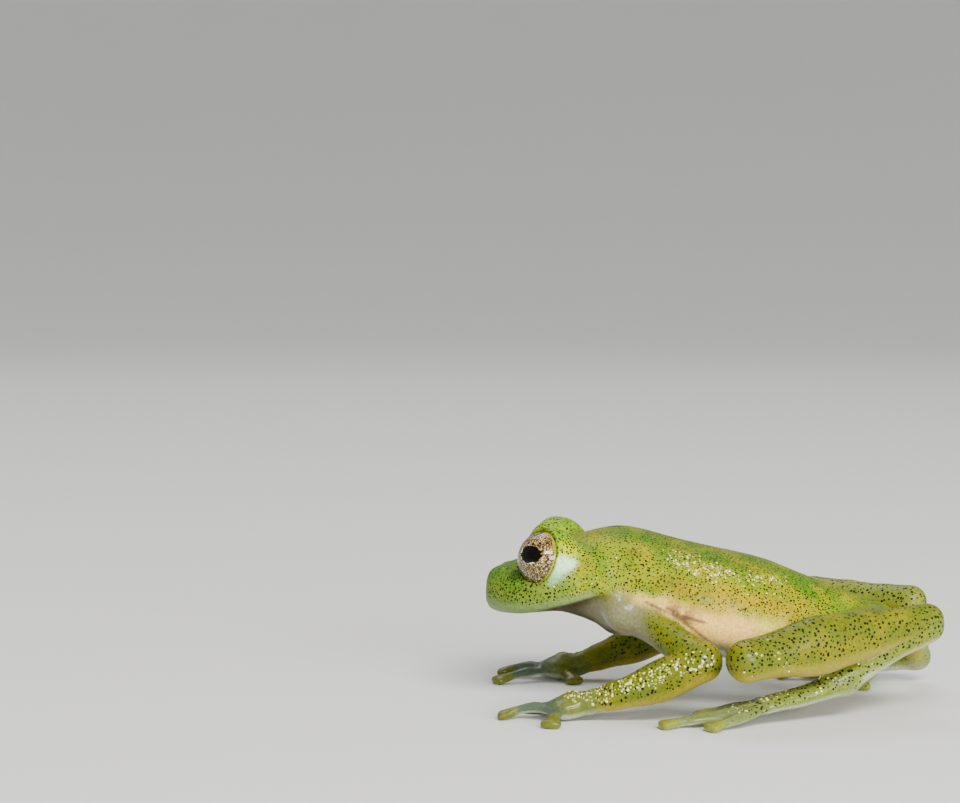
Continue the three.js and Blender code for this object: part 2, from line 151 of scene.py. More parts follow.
def smooth_path(corners, count):
    """Points along a smooth curve through the corners, evenly spaced."""
    corners = [np.asarray(c, float) for c in corners]
    if len(corners) == 2:
        shares = np.linspace(0, 1, count)[:, None]
        return corners[0] * (1 - shares) + corners[1] * shares
    padded = [2 * corners[0] - corners[1], *corners, 2 * corners[-1] - corners[-2]]
    dense = []
    for a, b, c, d in zip(padded, padded[1:], padded[2:], padded[3:]):
        ta, tb, tc = (math.sqrt(np.linalg.norm(q - p)) for p, q in ((a, b), (b, c), (c, d)))
        start = ((b - a) / ta - (c - a) / (ta + tb) + (c - b) / tb) * tb
        stop = ((c - b) / tb - (d - b) / (tb + tc) + (d - c) / tc) * tb
        t = np.linspace(0, 1, 24, endpoint=False)[:, None]
        dense.append(
            (2 * t**3 - 3 * t**2 + 1) * b
            + (t**3 - 2 * t**2 + t) * start
            + (3 * t**2 - 2 * t**3) * c
            + (t**3 - t**2) * stop
        )
    dense = np.vstack([*dense, corners[-1:]])
    steps = np.r_[0, np.cumsum(np.linalg.norm(np.diff(dense, axis=0), axis=1))]
    wanted = np.linspace(0, steps[-1], count)
    return np.stack([np.interp(wanted, steps, dense[:, k]) for k in range(3)], 1)


print("two forms 0.2 mm away join at", rounded_min(0.2, 0.2, 0.4).round(3), "mm")

# %% [markdown]
# The trunk is one long form from snout to vent. Its table gives, at each step along
# the body, the half width, the height of the back, the level at which it is widest,
# the height of the belly, and how boxy the lower half is: the jaw is nearly flat
# underneath, and the throat behind it is a keel.

# %% Trunk table
TRUNK = np.array([
    # y, half width, back, widest level, belly, lower power, upper power
    [-12.08, 0.02, 5.76, 5.75, 5.74, 2.0, 2.2],
    [-12.02, 0.90, 6.38, 5.70, 5.08, 2.1, 2.2],
    [-11.80, 1.66, 6.84, 5.62, 4.78, 2.3, 2.2],
    [-11.20, 2.47, 7.12, 5.58, 4.66, 2.8, 2.3],
    [-10.30, 3.28, 7.45, 5.58, 4.68, 3.2, 2.5],
    [-9.20, 3.85, 7.92, 5.75, 4.72, 3.0, 2.6],
    [-8.10, 4.20, 8.40, 5.98, 4.62, 2.3, 2.5],
    [-7.10, 4.28, 8.78, 6.15, 4.20, 1.8, 2.3],
    [-6.10, 4.12, 9.06, 6.20, 3.72, 1.65, 2.2],
    [-5.10, 3.90, 9.20, 6.15, 3.52, 1.8, 2.2],
    [-4.00, 4.10, 9.05, 5.90, 3.50, 2.1, 2.2],
    [-2.40, 4.55, 8.62, 5.50, 3.30, 2.3, 2.2],
    [-0.60, 4.85, 8.20, 5.05, 2.78, 2.35, 2.2],
    [1.20, 4.72, 7.84, 4.75, 2.38, 2.35, 2.2],
    [2.60, 4.10, 7.48, 4.60, 2.32, 2.3, 2.2],
    [4.00, 3.25, 6.94, 4.50, 2.48, 2.2, 2.2],
    [5.60, 2.40, 6.34, 4.42, 2.78, 2.1, 2.2],
    [7.20, 1.80, 5.72, 4.30, 3.05, 2.1, 2.1],
    [8.50, 1.30, 5.22, 4.22, 3.32, 2.0, 2.0],
    [9.25, 0.75, 4.85, 4.20, 3.65, 2.0, 2.0],
    [9.50, 0.02, 4.26, 4.25, 4.24, 2.0, 2.0],
])


def smooth_rows(table, between):
    """The table with rows added between its own, on a smooth curve through them."""
    padded = np.vstack([2 * table[0] - table[1], table, 2 * table[-1] - table[-2]])
    made = []
    for a, b, c, d in zip(padded, padded[1:], padded[2:], padded[3:]):
        for t in np.arange(between) / between:
            bend = 2 * a - 5 * b + 4 * c - d + t * (3 * (b - c) + d - a)
            made.append(b + 0.5 * t * (c - a + t * bend))
    return np.vstack([made, table[-1:]])


TRUNK_ROWS = smooth_rows(TRUNK, 12)
TRUNK_ROWS = TRUNK_ROWS[np.argsort(TRUNK_ROWS[:, 0])]
HALF_WIDTH, BACK, WIDEST, BELLY_LEVEL, LOWER_POWER, UPPER_POWER = range(1, 7)


def trunk_column(column, y):
    return np.interp(y, TRUNK_ROWS[:, 0], TRUNK_ROWS[:, column])


print("the trunk is", round(TRUNK[-1, 0] - TRUNK[0, 0], 2), "mm long")

# %% [markdown]
# A cut across the trunk is a rounded box, called a superellipse: its power says how
# boxy it is. A point's share is 1 on that outline, and dividing by how fast the share
# grows turns it into millimetres. The line of the mouth is a step in the same form,
# because the lower jaw lies a little inside the upper lip.

# %% Trunk distance
MOUTH = np.array([
    [-12.0, 5.33], [-11.75, 5.30], [-11.0, 5.18], [-10.0, 5.18], [-9.0, 5.30],
    [-8.0, 5.52], [-7.0, 5.80], [-6.2, 6.05], [-5.4, 6.35],
])
# How far the jaw and throat are set in under the lip, along the body.
LIP_STEP = np.array([[-10.0, 0.07], [-8.0, 0.24], [-5.6, 0.32]])


def trunk_share(p):
    """1 on the trunk's surface, less inside it, more outside."""
    x, y, z = p[:, 0], p[:, 1], p[:, 2]
    level = trunk_column(WIDEST, y)
    above = z > level
    high = np.where(above, trunk_column(BACK, y) - level, level - trunk_column(BELLY_LEVEL, y))
    power = np.where(above, trunk_column(UPPER_POWER, y), trunk_column(LOWER_POWER, y))
    wide = np.maximum(trunk_column(HALF_WIDTH, y), 0.02)
    high = np.maximum(high, 0.02)
    across = np.maximum(np.abs(x) / wide, 1e-6)
    along = np.maximum(np.abs(z - level) / high, 1e-6)
    return (across**power + along**power) ** (1 / power)


def trunk_distance(p):
    share = trunk_share(p)
    step = 0.03
    slopes = [(trunk_share(p + step * axis) - share) / step for axis in np.eye(3)]
    across = np.maximum(np.hypot(slopes[0], slopes[2]), 0.1)
    beyond = (share - 1) / across
    # Where the body tapers, the nearest skin is ahead or behind, and so a little closer.
    taper = slopes[1] / (across * np.maximum(share, 0.3)) / (1 + 2 * np.maximum(beyond, 0))
    distance = beyond / np.sqrt(1 + taper**2)
    ends = np.maximum(TRUNK[0, 0] - p[:, 1], p[:, 1] - TRUNK[-1, 0])
    distance = np.maximum(distance, ends)
    # The jaw's step runs back to the corner of the mouth.
    below = smoothstep(0.02, 0.18, np.interp(p[:, 1], *MOUTH.T) - p[:, 2])
    jaw = below * smoothstep(-5.4, -6.4, p[:, 1])
    return distance + np.interp(p[:, 1], *LIP_STEP.T) * jaw


print("the mouth is", round(MOUTH[-1, 0] - MOUTH[0, 0], 2), "mm long")

# %% [markdown]
# The eyes are set before the head's skin, because the skin is fitted round them. Each
# eye is a ball that looks forward, outward and a little up from a corner of the head.
# The skin wraps the ball's back, and its edge is the lid: a thin soft rim in which the
# ball sits like a bead in a cup.

# %% Eyes and lids
EYE_CENTRE = point(2.86, -8.72, 7.74)
EYE_FROM_FORWARD, EYE_TILT = math.radians(42), math.radians(15)
EYE_RADIUS = 1.45
ORBIT_RADIUS, ORBIT_SETBACK = 1.70, 0.25
LID_REACH, LID_RING, LID_TUBE = 0.44, 1.46, 0.1
SIDES = {"left": 1, "right": -1}


def eye_axis(sign):
    flat = math.cos(EYE_TILT)
    return point(
        sign * math.sin(EYE_FROM_FORWARD) * flat,
        -math.cos(EYE_FROM_FORWARD) * flat,
        math.sin(EYE_TILT),
    )


def eye_centre(sign):
    return EYE_CENTRE * point(sign, 1, 1)


def length(vectors):
    return np.sqrt(np.einsum("ij,ij->i", vectors, vectors))


def ball_distance(centre, radius):
    return lambda p: length(p - centre) - radius


def orbit_distance(sign):
    """The bulge behind one eye, ending in a rounded lid."""
    centre, axis = eye_centre(sign), eye_axis(sign)

    def distance(p):
        offset = p - centre
        along = offset @ axis
        across = length(offset - along[:, None] * axis)
        bulge = length(offset + ORBIT_SETBACK * axis) - ORBIT_RADIUS
        bulge = rounded_max(bulge, along - LID_REACH, 0.1)
        lid = np.hypot(across - LID_RING, along - LID_REACH + 0.02) - LID_TUBE
        return rounded_min(bulge, lid, 0.12)

    return distance


print("each eye is", 2 * EYE_RADIUS, "mm across")

# %% [markdown]
# Limbs, fingers and toes are tubes of oval section whose girth changes along the bone.
# A table of girths gives each its muscle: the upper arm is thin, the thigh swells in
# the middle. The distance to an oval has no simple formula, so it is estimated from
# how far the point lies out in units of the oval, which is exact at the surface.

# %% Oval tubes
# A tube's distance is worked out in a band this wide round it, and is FAR beyond that.
BAND = 0.9
FAR = 9.0


def girth_at(table, t):
    """Half width and half height at a share of the length, with smooth steps."""
    table = np.asarray(table, float)
    k = np.clip(np.searchsorted(table[:, 0], t) - 1, 0, max(len(table) - 2, 0))
    low, high = table[k], table[np.minimum(k + 1, len(table) - 1)]
    share = smoothstep(low[:, 0], np.maximum(high[:, 0], low[:, 0] + 1e-6), t)[:, None]
    return low[:, 1:3] * (1 - share) + high[:, 1:3] * share


def oval_distance(offset, half):
    """Roughly how far an offset reaches past an ellipsoid of these half sizes."""
    scaled = offset / half
    share = np.maximum(length(scaled), 1e-6)
    return share * (share - 1) / np.maximum(length(scaled / half), 1e-6)


def segment_distance(p, a, b, half_a, half_b):
    """How far points lie outside one short length of an oval tube."""
    bone = b - a
    forward = unit(bone)
    side = unit(np.cross(forward, UP))
    t = np.clip((p - a) @ bone / (bone @ bone), 0, 1)[:, None]
    half = half_a * (1 - t) + half_b * t
    half = np.column_stack([half, half.min(1)])
    turned = np.stack([side, np.cross(side, forward), forward], 1)
    return oval_distance((p - a - t * bone) @ turned, half)


def tube_distance(corners, table, count=14):
    centres = smooth_path(corners, count + 1)
    halves = girth_at(table, np.linspace(0, 1, count + 1))
    lengths = list(zip(centres, centres[1:], halves, halves[1:]))

    def distance(p):
        nearest = np.full(len(p), FAR)
        for a, b, half_a, half_b in lengths:
            reach = np.linalg.norm(b - a) / 2 + max(half_a.max(), half_b.max()) + BAND
            close = np.flatnonzero((np.abs(p - (a + b) / 2) < reach).all(1))
            found = segment_distance(p[close], a, b, half_a, half_b)
            nearest[close] = np.minimum(nearest[close], found)
        return nearest

    reach = halves.max() + 0.1
    return distance, centres.min(0) - reach, centres.max(0) + reach


print("a tube's distance is worked out up to", BAND, "mm away")

# %% [markdown]
# A limb is placed by its joints. Those of the left side can all be measured from the
# camera's side. The right side is partly behind the body, so its joints are set where
# the same bones, with the same lengths, can reach.

# %% Limb places
def limb_places(sign, places):
    return {name: point(*place) * point(sign, 1, 1) for name, place in places.items()}


LIMBS = {
    "left": limb_places(1, {
        "shoulder": (3.0, -4.4, 5.1), "elbow": (6.6, -0.6, 3.2),
        "forearm": (6.4, -3.4, 1.85), "wrist": (6.05, -6.2, 0.96),
        "palm": (5.95, -7.5, 0.52),
        "hip": (1.3, 8.2, 4.05), "knee": (8.1, 1.6, 3.49),
        "heel": (2.65, 10.65, 4.68), "ankle": (4.3, 6.5, 1.98),
    }),
    "right": limb_places(-1, {
        "shoulder": (3.0, -4.5, 5.1), "elbow": (6.9, -2.7, 2.75),
        "forearm": (6.8, -5.2, 1.75), "wrist": (6.5, -7.7, 0.84),
        "palm": (6.45, -8.9, 0.55),
        "hip": (1.3, 8.2, 4.05), "knee": (8.2, 1.5, 4.1),
        "heel": (2.8, 10.1, 4.9), "ankle": (7.4, 10.72, 1.45),
    }),
}
FOOT_HEADING = {"left": 22, "right": 20}
# Rows of share of the length, half width, half height.
GIRTH = {
    "upper_arm": [[0, 1.05, 1.0], [0.35, 0.78, 0.8], [1, 0.9, 0.92]],
    "forearm": [[0, 0.95, 1.0], [0.35, 0.96, 1.06], [0.75, 0.72, 0.76], [1, 0.56, 0.55]],
    "thigh": [[0, 1.15, 1.2], [0.45, 1.3, 1.4], [1, 1.0, 1.03]],
    "shank": [
        [0, 1.0, 1.03], [0.1, 1.0, 1.03], [0.38, 1.2, 1.5],
        [0.6, 1.08, 1.28], [0.8, 0.98, 1.0], [1, 0.88, 0.84],
    ],
    "tarsus": [[0, 0.86, 0.86], [0.5, 0.8, 0.8], [1, 0.66, 0.66]],
}
print("girths for", ", ".join(GIRTH))

# %% [markdown]
# A glass frog climbs on round, flattened discs at the ends of its fingers and toes.
# Each digit leaves the palm or sole, arches a little, and comes down flat on its disc.
# Small swellings under the joints make it look like a living finger and not a hose.

# %% Fingers and toes
PAD_HEIGHT = 0.21
DIGIT_RADIUS = 0.25
FINGER_DISC, TOE_DISC = 0.58, 0.59
DISC_HALF_HEIGHT = 0.25
# Tip of each finger and the height of its arch.
FINGERS = {
    "left": [
        ((3.9, -6.85), 0.45), ((4.1, -9.4), 0.5),
        ((6.05, -10.65), 0.62), ((8.4, -8.02), 0.55),
    ],
    "right": [
        ((-4.8, -7.75), 0.45), ((-4.5, -11.95), 0.5),
        ((-7.4, -11.95), 0.62), ((-9.3, -10.1), 0.55),
    ],
}
# Toes one to five: length, turn outward from the heading, height of the arch,
# and how far along the sole the toe leaves it.
TOES = [
    (4.2, -62, 0.6, 0.45), (5.7, -42, 0.7, 0.55), (7.4, -16, 0.7, 0.75),
    (9.65, 0, 0.55, 0.9), (7.8, 10, 0.5, 0.75),
]
print("finger discs are", 2 * FINGER_DISC, "mm wide, toe discs", 2 * TOE_DISC)


# %% Paths of the digits
def digit_corners(root, tip, arch):
    middle = root + (tip - root) * 0.55
    middle[2] = max(arch, root[2] + (tip[2] - root[2]) * 0.62)
    return [root, middle, tip]


def digit_girth(corners, disc):
    """Girth rows of a digit: a knuckle at the arch, a neck, then the flat disc."""
    whole = np.linalg.norm(corners[2] - corners[0])
    before = lambda millimetres: 1 - millimetres / whole
    r = DIGIT_RADIUS
    return [
        [0, 1.2 * r, 1.1 * r],
        [before(disc * 3.6) * 0.75, 0.95 * r, 0.92 * r],
        [before(disc * 3.1), 1.2 * r, 1.12 * r],
        [before(disc * 1.6), 0.98 * r, 0.9 * r],
        [before(disc * 0.85), 1.25 * r, r],
        [before(disc * 0.1), disc * 0.97, DISC_HALF_HEIGHT],
        [1, disc * 0.94, DISC_HALF_HEIGHT],
    ]


def sole_corners(side):
    ankle = LIMBS[side]["ankle"]
    middle = ankle + (toe_tip(side, 3) - ankle) * 0.45
    middle[2] = ankle[2] * 0.48
    return [ankle, (ankle + middle) / 2 - point(0, 0, 0.12), middle]


def toe_tip(side, number):
    reach, turn = TOES[number][:2]
    angle = math.radians(FOOT_HEADING[side] + turn)
    ahead = point(SIDES[side] * math.sin(angle), -math.cos(angle), 0)
    tip = LIMBS[side]["ankle"] + reach * ahead
    tip[2] = PAD_HEIGHT
    return tip


def finger_paths(side):
    palm = LIMBS[side]["palm"]
    return [digit_corners(palm, point(*tip, PAD_HEIGHT), arch) for tip, arch in FINGERS[side]]


def toe_paths(side):
    ankle, _, middle = sole_corners(side)
    return [
        digit_corners(ankle + (middle - ankle) * leave, toe_tip(side, number), arch)
        for number, (_, _, arch, leave) in enumerate(TOES)
    ]


print("toe four reaches", [round(float(v), 2) for v in toe_tip("left", 3)])

# %% [markdown]
# Between the digits stretches a web, much thinner than the digits. Its middle surface
# is sampled on a grid that runs from one digit to the next and is hollowed along its
# free edge. A point's distance is measured to the plane of the nearest sample, which
# keeps the sheet smooth between samples.

# %% Webs
WEB_HALF = 0.085
WEB_HOLLOW = 0.26
# How far along the digits each web reaches.
FINGER_WEBS = [0.36, 0.42, 0.6]
TOE_WEBS = [0.5, 0.55, 0.66, 0.72]
# Points compared with all samples at once, to keep the memory small.
AT_A_TIME = 20000


def web_distance(path_a, path_b, reach_a, reach_b, rows=30, across=12):
    dense = [smooth_path(path, 101) for path in (path_a, path_b)]
    u = np.linspace(0, 1, across)[None, :]
    reach = (reach_a + (reach_b - reach_a) * u) * (1 - WEB_HOLLOW * np.sin(np.pi * u))
    t = reach * np.linspace(0.12, 1, rows)[:, None]
    shares = np.linspace(0, 1, 101)
    ends = [np.stack([np.interp(t, shares, d[:, k]) for k in range(3)], -1) for d in dense]
    grid = ends[0] * (1 - u[..., None]) + ends[1] * u[..., None]
    grid[..., 2] = np.maximum(grid[..., 2], WEB_HALF + 0.1)
    along = np.gradient(grid, axis=0)
    sideways = np.gradient(grid, axis=1)
    normals = np.cross(along, sideways).reshape(-1, 3)
    normals /= np.maximum(length(normals), 1e-9)[:, None]
    samples = grid.reshape(-1, 3)
    widest_step = max(length(step.reshape(-1, 3)).max() for step in (along, sideways))
    spacing = 0.75 * widest_step

    def distance(p):
        result = np.empty(len(p))
        for start in range(0, len(p), AT_A_TIME):
            part = p[start:start + AT_A_TIME]
            squared = (
                (part**2).sum(1)[:, None] - 2 * part @ samples.T + (samples**2).sum(1)[None]
            )
            nearest = squared.argmin(1)
            offset = part - samples[nearest]
            rise = np.einsum("ij,ij->i", offset, normals[nearest])
            beside = length(offset - rise[:, None] * normals[nearest])
            beyond = np.maximum(beside - spacing, 0)
            result[start:start + AT_A_TIME] = np.hypot(rise, beyond) - WEB_HALF
        return result

    return distance, samples.min(0) - 0.5, samples.max(0) + 0.5


print("webs between", len(FINGER_WEBS) + 1, "fingers and", len(TOE_WEBS) + 1, "toes")

# %% [markdown]
# Now every form is listed once, with the box that holds it and the length over which it
# blends into what came before. The list serves twice: it is poured into the distance
# field below, and later it tells the painter which part of the body a point belongs to.

# %% List of forms
forms = []


def add_form(region, distance, low, high, blend):
    forms.append((region, distance, np.asarray(low, float), np.asarray(high, float), blend))


def add_ball(region, centre, radius, blend):
    add_form(region, ball_distance(centre, radius), centre - radius, centre + radius, blend)


def add_tube(region, corners, table, blend, count=14):
    distance, low, high = tube_distance(corners, table, count)
    add_form(region, distance, low, high, blend)


def add_oval(region, centre, half, blend):
    half = np.asarray(half, float)
    distance = lambda p: oval_distance(p - centre, half)
    add_form(region, distance, centre - half, centre + half, blend)


print("forms can be balls, ovals, tubes and webs")

# %% Head and trunk
# The fold of skin over the ear, from the eye down to the arm.
EAR_FOLD = [point(3.3, -7.4, 7.6), point(3.95, -6.2, 6.9), point(3.9, -5.2, 6.0)]


def add_head_and_trunk():
    wide = TRUNK[:, HALF_WIDTH].max() + 0.2
    low = point(-wide, TRUNK[0, 0] - 0.2, TRUNK[:, BELLY_LEVEL].min() - 0.2)
    high = point(wide, TRUNK[-1, 0] + 0.2, TRUNK[:, BACK].max() + 0.2)
    add_form("trunk", trunk_distance, low, high, 0.3)
    for sign in SIDES.values():
        bulge = orbit_distance(sign)
        centre = eye_centre(sign)
        add_form("trunk", bulge, centre - 2.1, centre + 2.1, 0.45)
        fold = [point(sign, 1, 1) * place for place in EAR_FOLD]
        add_tube("trunk", fold, [[0, 0.2, 0.2], [0.5, 0.3, 0.3], [1, 0.2, 0.2]], 0.5)
        add_ball("trunk", nostril_place(sign, -0.22), 0.28, 0.3)


def nostril_place(sign, out):
    """A place on the snout's side, moved out along the skin's own slope."""
    y = -11.15
    level, top, wide = (trunk_column(column, y) for column in (WIDEST, BACK, HALF_WIDTH))
    turn = math.radians(62)
    power = 2 / 2.25
    x = wide * math.cos(turn) ** power
    z = level + (top - level) * math.sin(turn) ** power
    return point(sign * x, y, z) + out * unit(point(sign * 0.45, -0.35, 0.8))


add_head_and_trunk()
print(len(forms), "forms for head and trunk")


# %% Arms and legs
def add_arm(side):
    limb = LIMBS[side]
    add_ball("upper_arm", limb["shoulder"] + point(0.42 * SIDES[side], -0.35, 0.05), 0.95, 0.4)
    add_tube("upper_arm", [limb["shoulder"], limb["elbow"]], GIRTH["upper_arm"], 0.5)
    add_tube("forearm", [limb["elbow"], limb["forearm"], limb["wrist"]], GIRTH["forearm"], 0.3)
    palm = limb["palm"]
    knuckles = palm + point(0, 0, 0.12)
    add_tube("hand", [limb["wrist"], knuckles], [[0, 0.56, 0.55], [1, 0.95, 0.52]], 0.35, 6)
    # The back of the hand stands up where the wrist bends.
    add_ball("hand", palm + point(0, 0.35, 0.58), 0.36, 0.5)
    add_oval("hand", knuckles, (0.92, 1.02, 0.5), 0.35)
    paths = finger_paths(side)
    for path in paths:
        add_tube("hand", path, digit_girth(path, FINGER_DISC), 0.22, 24)
    for k, reach in enumerate(FINGER_WEBS):
        add_form("hand", *web_distance(paths[k], paths[k + 1], reach, reach), 0.16)


def add_leg(side):
    limb = LIMBS[side]
    add_tube("thigh", [limb["hip"], limb["knee"]], GIRTH["thigh"], 0.6)
    # Folded at the heel, the slim end of the shank lies on top of the tarsus, which is
    # the long bone between heel and foot.
    heel, ankle = limb["heel"], limb["ankle"]
    upper, lower = heel + point(0, 0, 0.2), heel - point(0, 0, 0.12)
    shank_bend = limb["knee"] + (upper - limb["knee"]) * 0.62 - point(0, 0, 0.04)
    tarsus_bend = (lower + ankle) / 2 + point(0.25 * SIDES[side], 0, 0.3)
    add_tube("shank", [limb["knee"], shank_bend, upper], GIRTH["shank"], 0.14)
    add_tube("tarsus", [lower, tarsus_bend, ankle], GIRTH["tarsus"], 0.1)
    sole = [[0, 0.64, 0.64], [0.5, 0.8, 0.5], [1, 0.92, 0.4]]
    add_tube("foot", sole_corners(side), sole, 0.45)
    paths = toe_paths(side)
    for path in paths:
        add_tube("foot", path, digit_girth(path, TOE_DISC), 0.22, 24)
    for k, reach in enumerate(TOE_WEBS):
        after = TOE_WEBS[min(k + 1, len(TOE_WEBS) - 1)]
        add_form("foot", *web_distance(paths[k], paths[k + 1], reach, after), 0.16)


for side in SIDES:
    add_arm(side)
    add_leg(side)
print(len(forms), "forms in", len({form[0] for form in forms}), "regions")

# %% [markdown]
# The field is a grid of points 0.09 mm apart, and each form only works out its distance
# inside its own box. Three things are taken away at the end: the socket for each
# eyeball, the pit of each nostril, and all that lies below the floor, which flattens
# the pads.

# %% Pour the field
STEP = 0.09
GRID_LOW = point(-12.3, -12.9, -0.36)
GRID_HIGH = point(9.6, 12.0, 9.9)
GRID_SIZE = np.ceil((GRID_HIGH - GRID_LOW) / STEP).astype(int) + 1
SOCKET_GAP = 0.02
field = np.full(GRID_SIZE, 2.0, dtype=np.float32)


def pour(distance, low, high, blend, join=rounded_min):
    """Joins one form to the field inside its own box."""
    margin = blend + 0.3
    first = np.maximum(np.floor((low - margin - GRID_LOW) / STEP).astype(int), 0)
    last = np.minimum(np.ceil((high + margin - GRID_LOW) / STEP).astype(int) + 1, GRID_SIZE)
    lines = [GRID_LOW[k] + STEP * np.arange(first[k], last[k]) for k in range(3)]
    places = np.stack(np.meshgrid(*lines, indexing="ij"), -1).reshape(-1, 3)
    window = tuple(slice(a, b) for a, b in zip(first, last))
    shape = field[window].shape
    field[window] = join(field[window], distance(places).reshape(shape), blend)


def outside_ball(centre, radius):
    return lambda p: radius - length(p - centre)


for region, distance, low, high, blend in forms:
    pour(distance, low, high, blend)
for sign in SIDES.values():
    centre, socket = eye_centre(sign), EYE_RADIUS + SOCKET_GAP
    pour(outside_ball(centre, socket), centre - 1.6, centre + 1.6, 0.04, rounded_max)
    pit = nostril_place(sign, 0.2)
    pour(outside_ball(pit, 0.11), pit - 0.2, pit + 0.2, 0.05, rounded_max)
heights = GRID_LOW[2] + STEP * np.arange(GRID_SIZE[2])
field = np.maximum(field, -heights[None, None, :].astype(np.float32))
print("the field holds", field.size, "points, of which", int((field < 0).sum()), "are inside")

# %% [markdown]
# A field becomes a mesh by surface nets. Every small cube of the grid that the surface
# passes through gets one point, at the middle of where its edges are crossed, and each
# crossed grid edge gets a face between the four cubes round it. The points are then
# slid onto the surface itself, which takes the steps of the grid out of the skin.

# %% Surface net
CUBE = np.array([[i, j, k] for i in (0, 1) for j in (0, 1) for k in (0, 1)])
CORNER_PAIRS = [(a, b) for a in range(8) for b in range(a + 1, 8)]
CUBE_EDGES = [(a, b) for a, b in CORNER_PAIRS if abs(CUBE[a] - CUBE[b]).sum() == 1]


def net_points(inside):
    """The cubes that the surface crosses, their points, and their numbers."""
    cells = tuple(n - 1 for n in inside.shape)
    count = np.zeros(cells, np.uint8)
    for i, j, k in CUBE:
        count += inside[i:i + cells[0], j:j + cells[1], k:k + cells[2]]
    crossed = (count > 0) & (count < 8)
    places = np.argwhere(crossed)
    number = np.full(cells, -1, np.int32)
    number[crossed] = np.arange(len(places))
    at_corners = [field[tuple((places + corner).T)] for corner in CUBE]
    total, hits = np.zeros((len(places), 3)), np.zeros((len(places), 1))
    for a, b in CUBE_EDGES:
        cut = (at_corners[a] < 0) != (at_corners[b] < 0)
        gap = np.where(cut, at_corners[a] - at_corners[b], 1)
        share = (at_corners[a] / gap)[:, None]
        total += cut[:, None] * (CUBE[a] + share * (CUBE[b] - CUBE[a]))
        hits += cut[:, None]
    return GRID_LOW + STEP * (places + total / hits), number


def net_faces(inside, number):
    faces = []
    steps = np.eye(3, dtype=int)
    for axis in range(3):
        change = np.diff(inside.astype(np.int8), axis=axis)
        starts = np.argwhere(change != 0)
        outward = change[tuple(starts.T)] < 0
        b, c = steps[(axis + 1) % 3], steps[(axis + 2) % 3]
        ring = [number[tuple((starts - step).T)] for step in (b + c, c, 0 * b, b)]
        quads = np.stack(ring, 1)
        faces.append(np.where(outward[:, None], quads, quads[:, ::-1]))
    return np.vstack(faces)


inside = field < 0
net, number = net_points(inside)
net_quads = net_faces(inside, number)
print(len(net), "points and", len(net_quads), "faces before thinning")


# %% Slide onto the surface
def field_at(p):
    """The field between its grid points."""
    where = (p - GRID_LOW) / STEP
    base = np.clip(np.floor(where).astype(int), 0, GRID_SIZE - 2)
    part = where - base
    value = np.zeros(len(p))
    for corner in CUBE:
        weight = np.prod(np.where(corner, part, 1 - part), 1)
        value += weight * field[tuple((base + corner).T)]
    return value


def slid_to_surface(points, rounds=3):
    for _ in range(rounds):
        slope = np.stack([
            field_at(points + 0.5 * STEP * step) - field_at(points - 0.5 * STEP * step)
            for step in np.eye(3)
        ], 1) / STEP
        steepness = np.maximum((slope**2).sum(1), 0.05)[:, None]
        points = points - np.clip(field_at(points)[:, None] * slope / steepness, -STEP, STEP)
    return points


on_grid = net
net = slid_to_surface(net)
net[:, 2] = np.maximum(net[:, 2], 0)
print("points slid by up to", round(float(length(net - on_grid).max()), 3), "mm")

# %% [markdown]
# The raw net is finer than the skin needs. Blender's Decimate merges its faces where
# the skin is flat and keeps them where it bends, and stays under the limit of faces
# that one piece may have. The result is a plain mesh that no modifier depends on.

# %% Skin mesh
SKIN_TRIANGLES = 192000


def mesh_from(name, places, faces):
    mesh = bpy.data.meshes.new(name)
    mesh.from_pydata(places.tolist(), [], [list(map(int, face)) for face in faces])
    mesh.validate()
    return mesh


def piece_from(name, mesh):
    piece = bpy.data.objects.new(name, mesh)
    bpy.context.scene.collection.objects.link(piece)
    return piece


def finished(piece):
    """The piece with its modifiers made part of a plain mesh."""
    graph = bpy.context.evaluated_depsgraph_get()
    mesh = bpy.data.meshes.new_from_object(piece.evaluated_get(graph))
    piece.modifiers.clear()
    piece.data = mesh
    return piece


skin = piece_from("skin", mesh_from("skin", to_frame(net), net_quads))
thin = skin.modifiers.new("thin", "DECIMATE")
thin.ratio = SKIN_TRIANGLES / (2 * len(net_quads))
thin.use_collapse_triangulate = True
finished(skin)
skin.data.shade_smooth()
skin_points = np.empty(3 * len(skin.data.vertices))
skin.data.vertices.foreach_get("co", skin_points)
skin_points = skin_points.reshape(-1, 3) / MM - MIDLINE
print("the skin has", len(skin.data.polygons), "faces,", len(skin_points), "points")

# %% [markdown]
# The eyeball is a ball of rings round the line of sight, with a point of its own at the
# very front. Its UV map is a flat disc seen from the front: the middle of the map is
# the line of sight, and the distance from there is the angle round the ball. Pupil,
# iris and netting are then drawn as on paper.

# %% Eyeballs
EYE_RINGS, EYE_SPOKES = 44, 72


def eye_directions(sign):
    """The line of sight, the level way from it to the outside, and the way up."""
    axis = eye_axis(sign)
    level = unit(np.cross(UP, axis))
    return axis, sign * level, np.cross(axis, level)


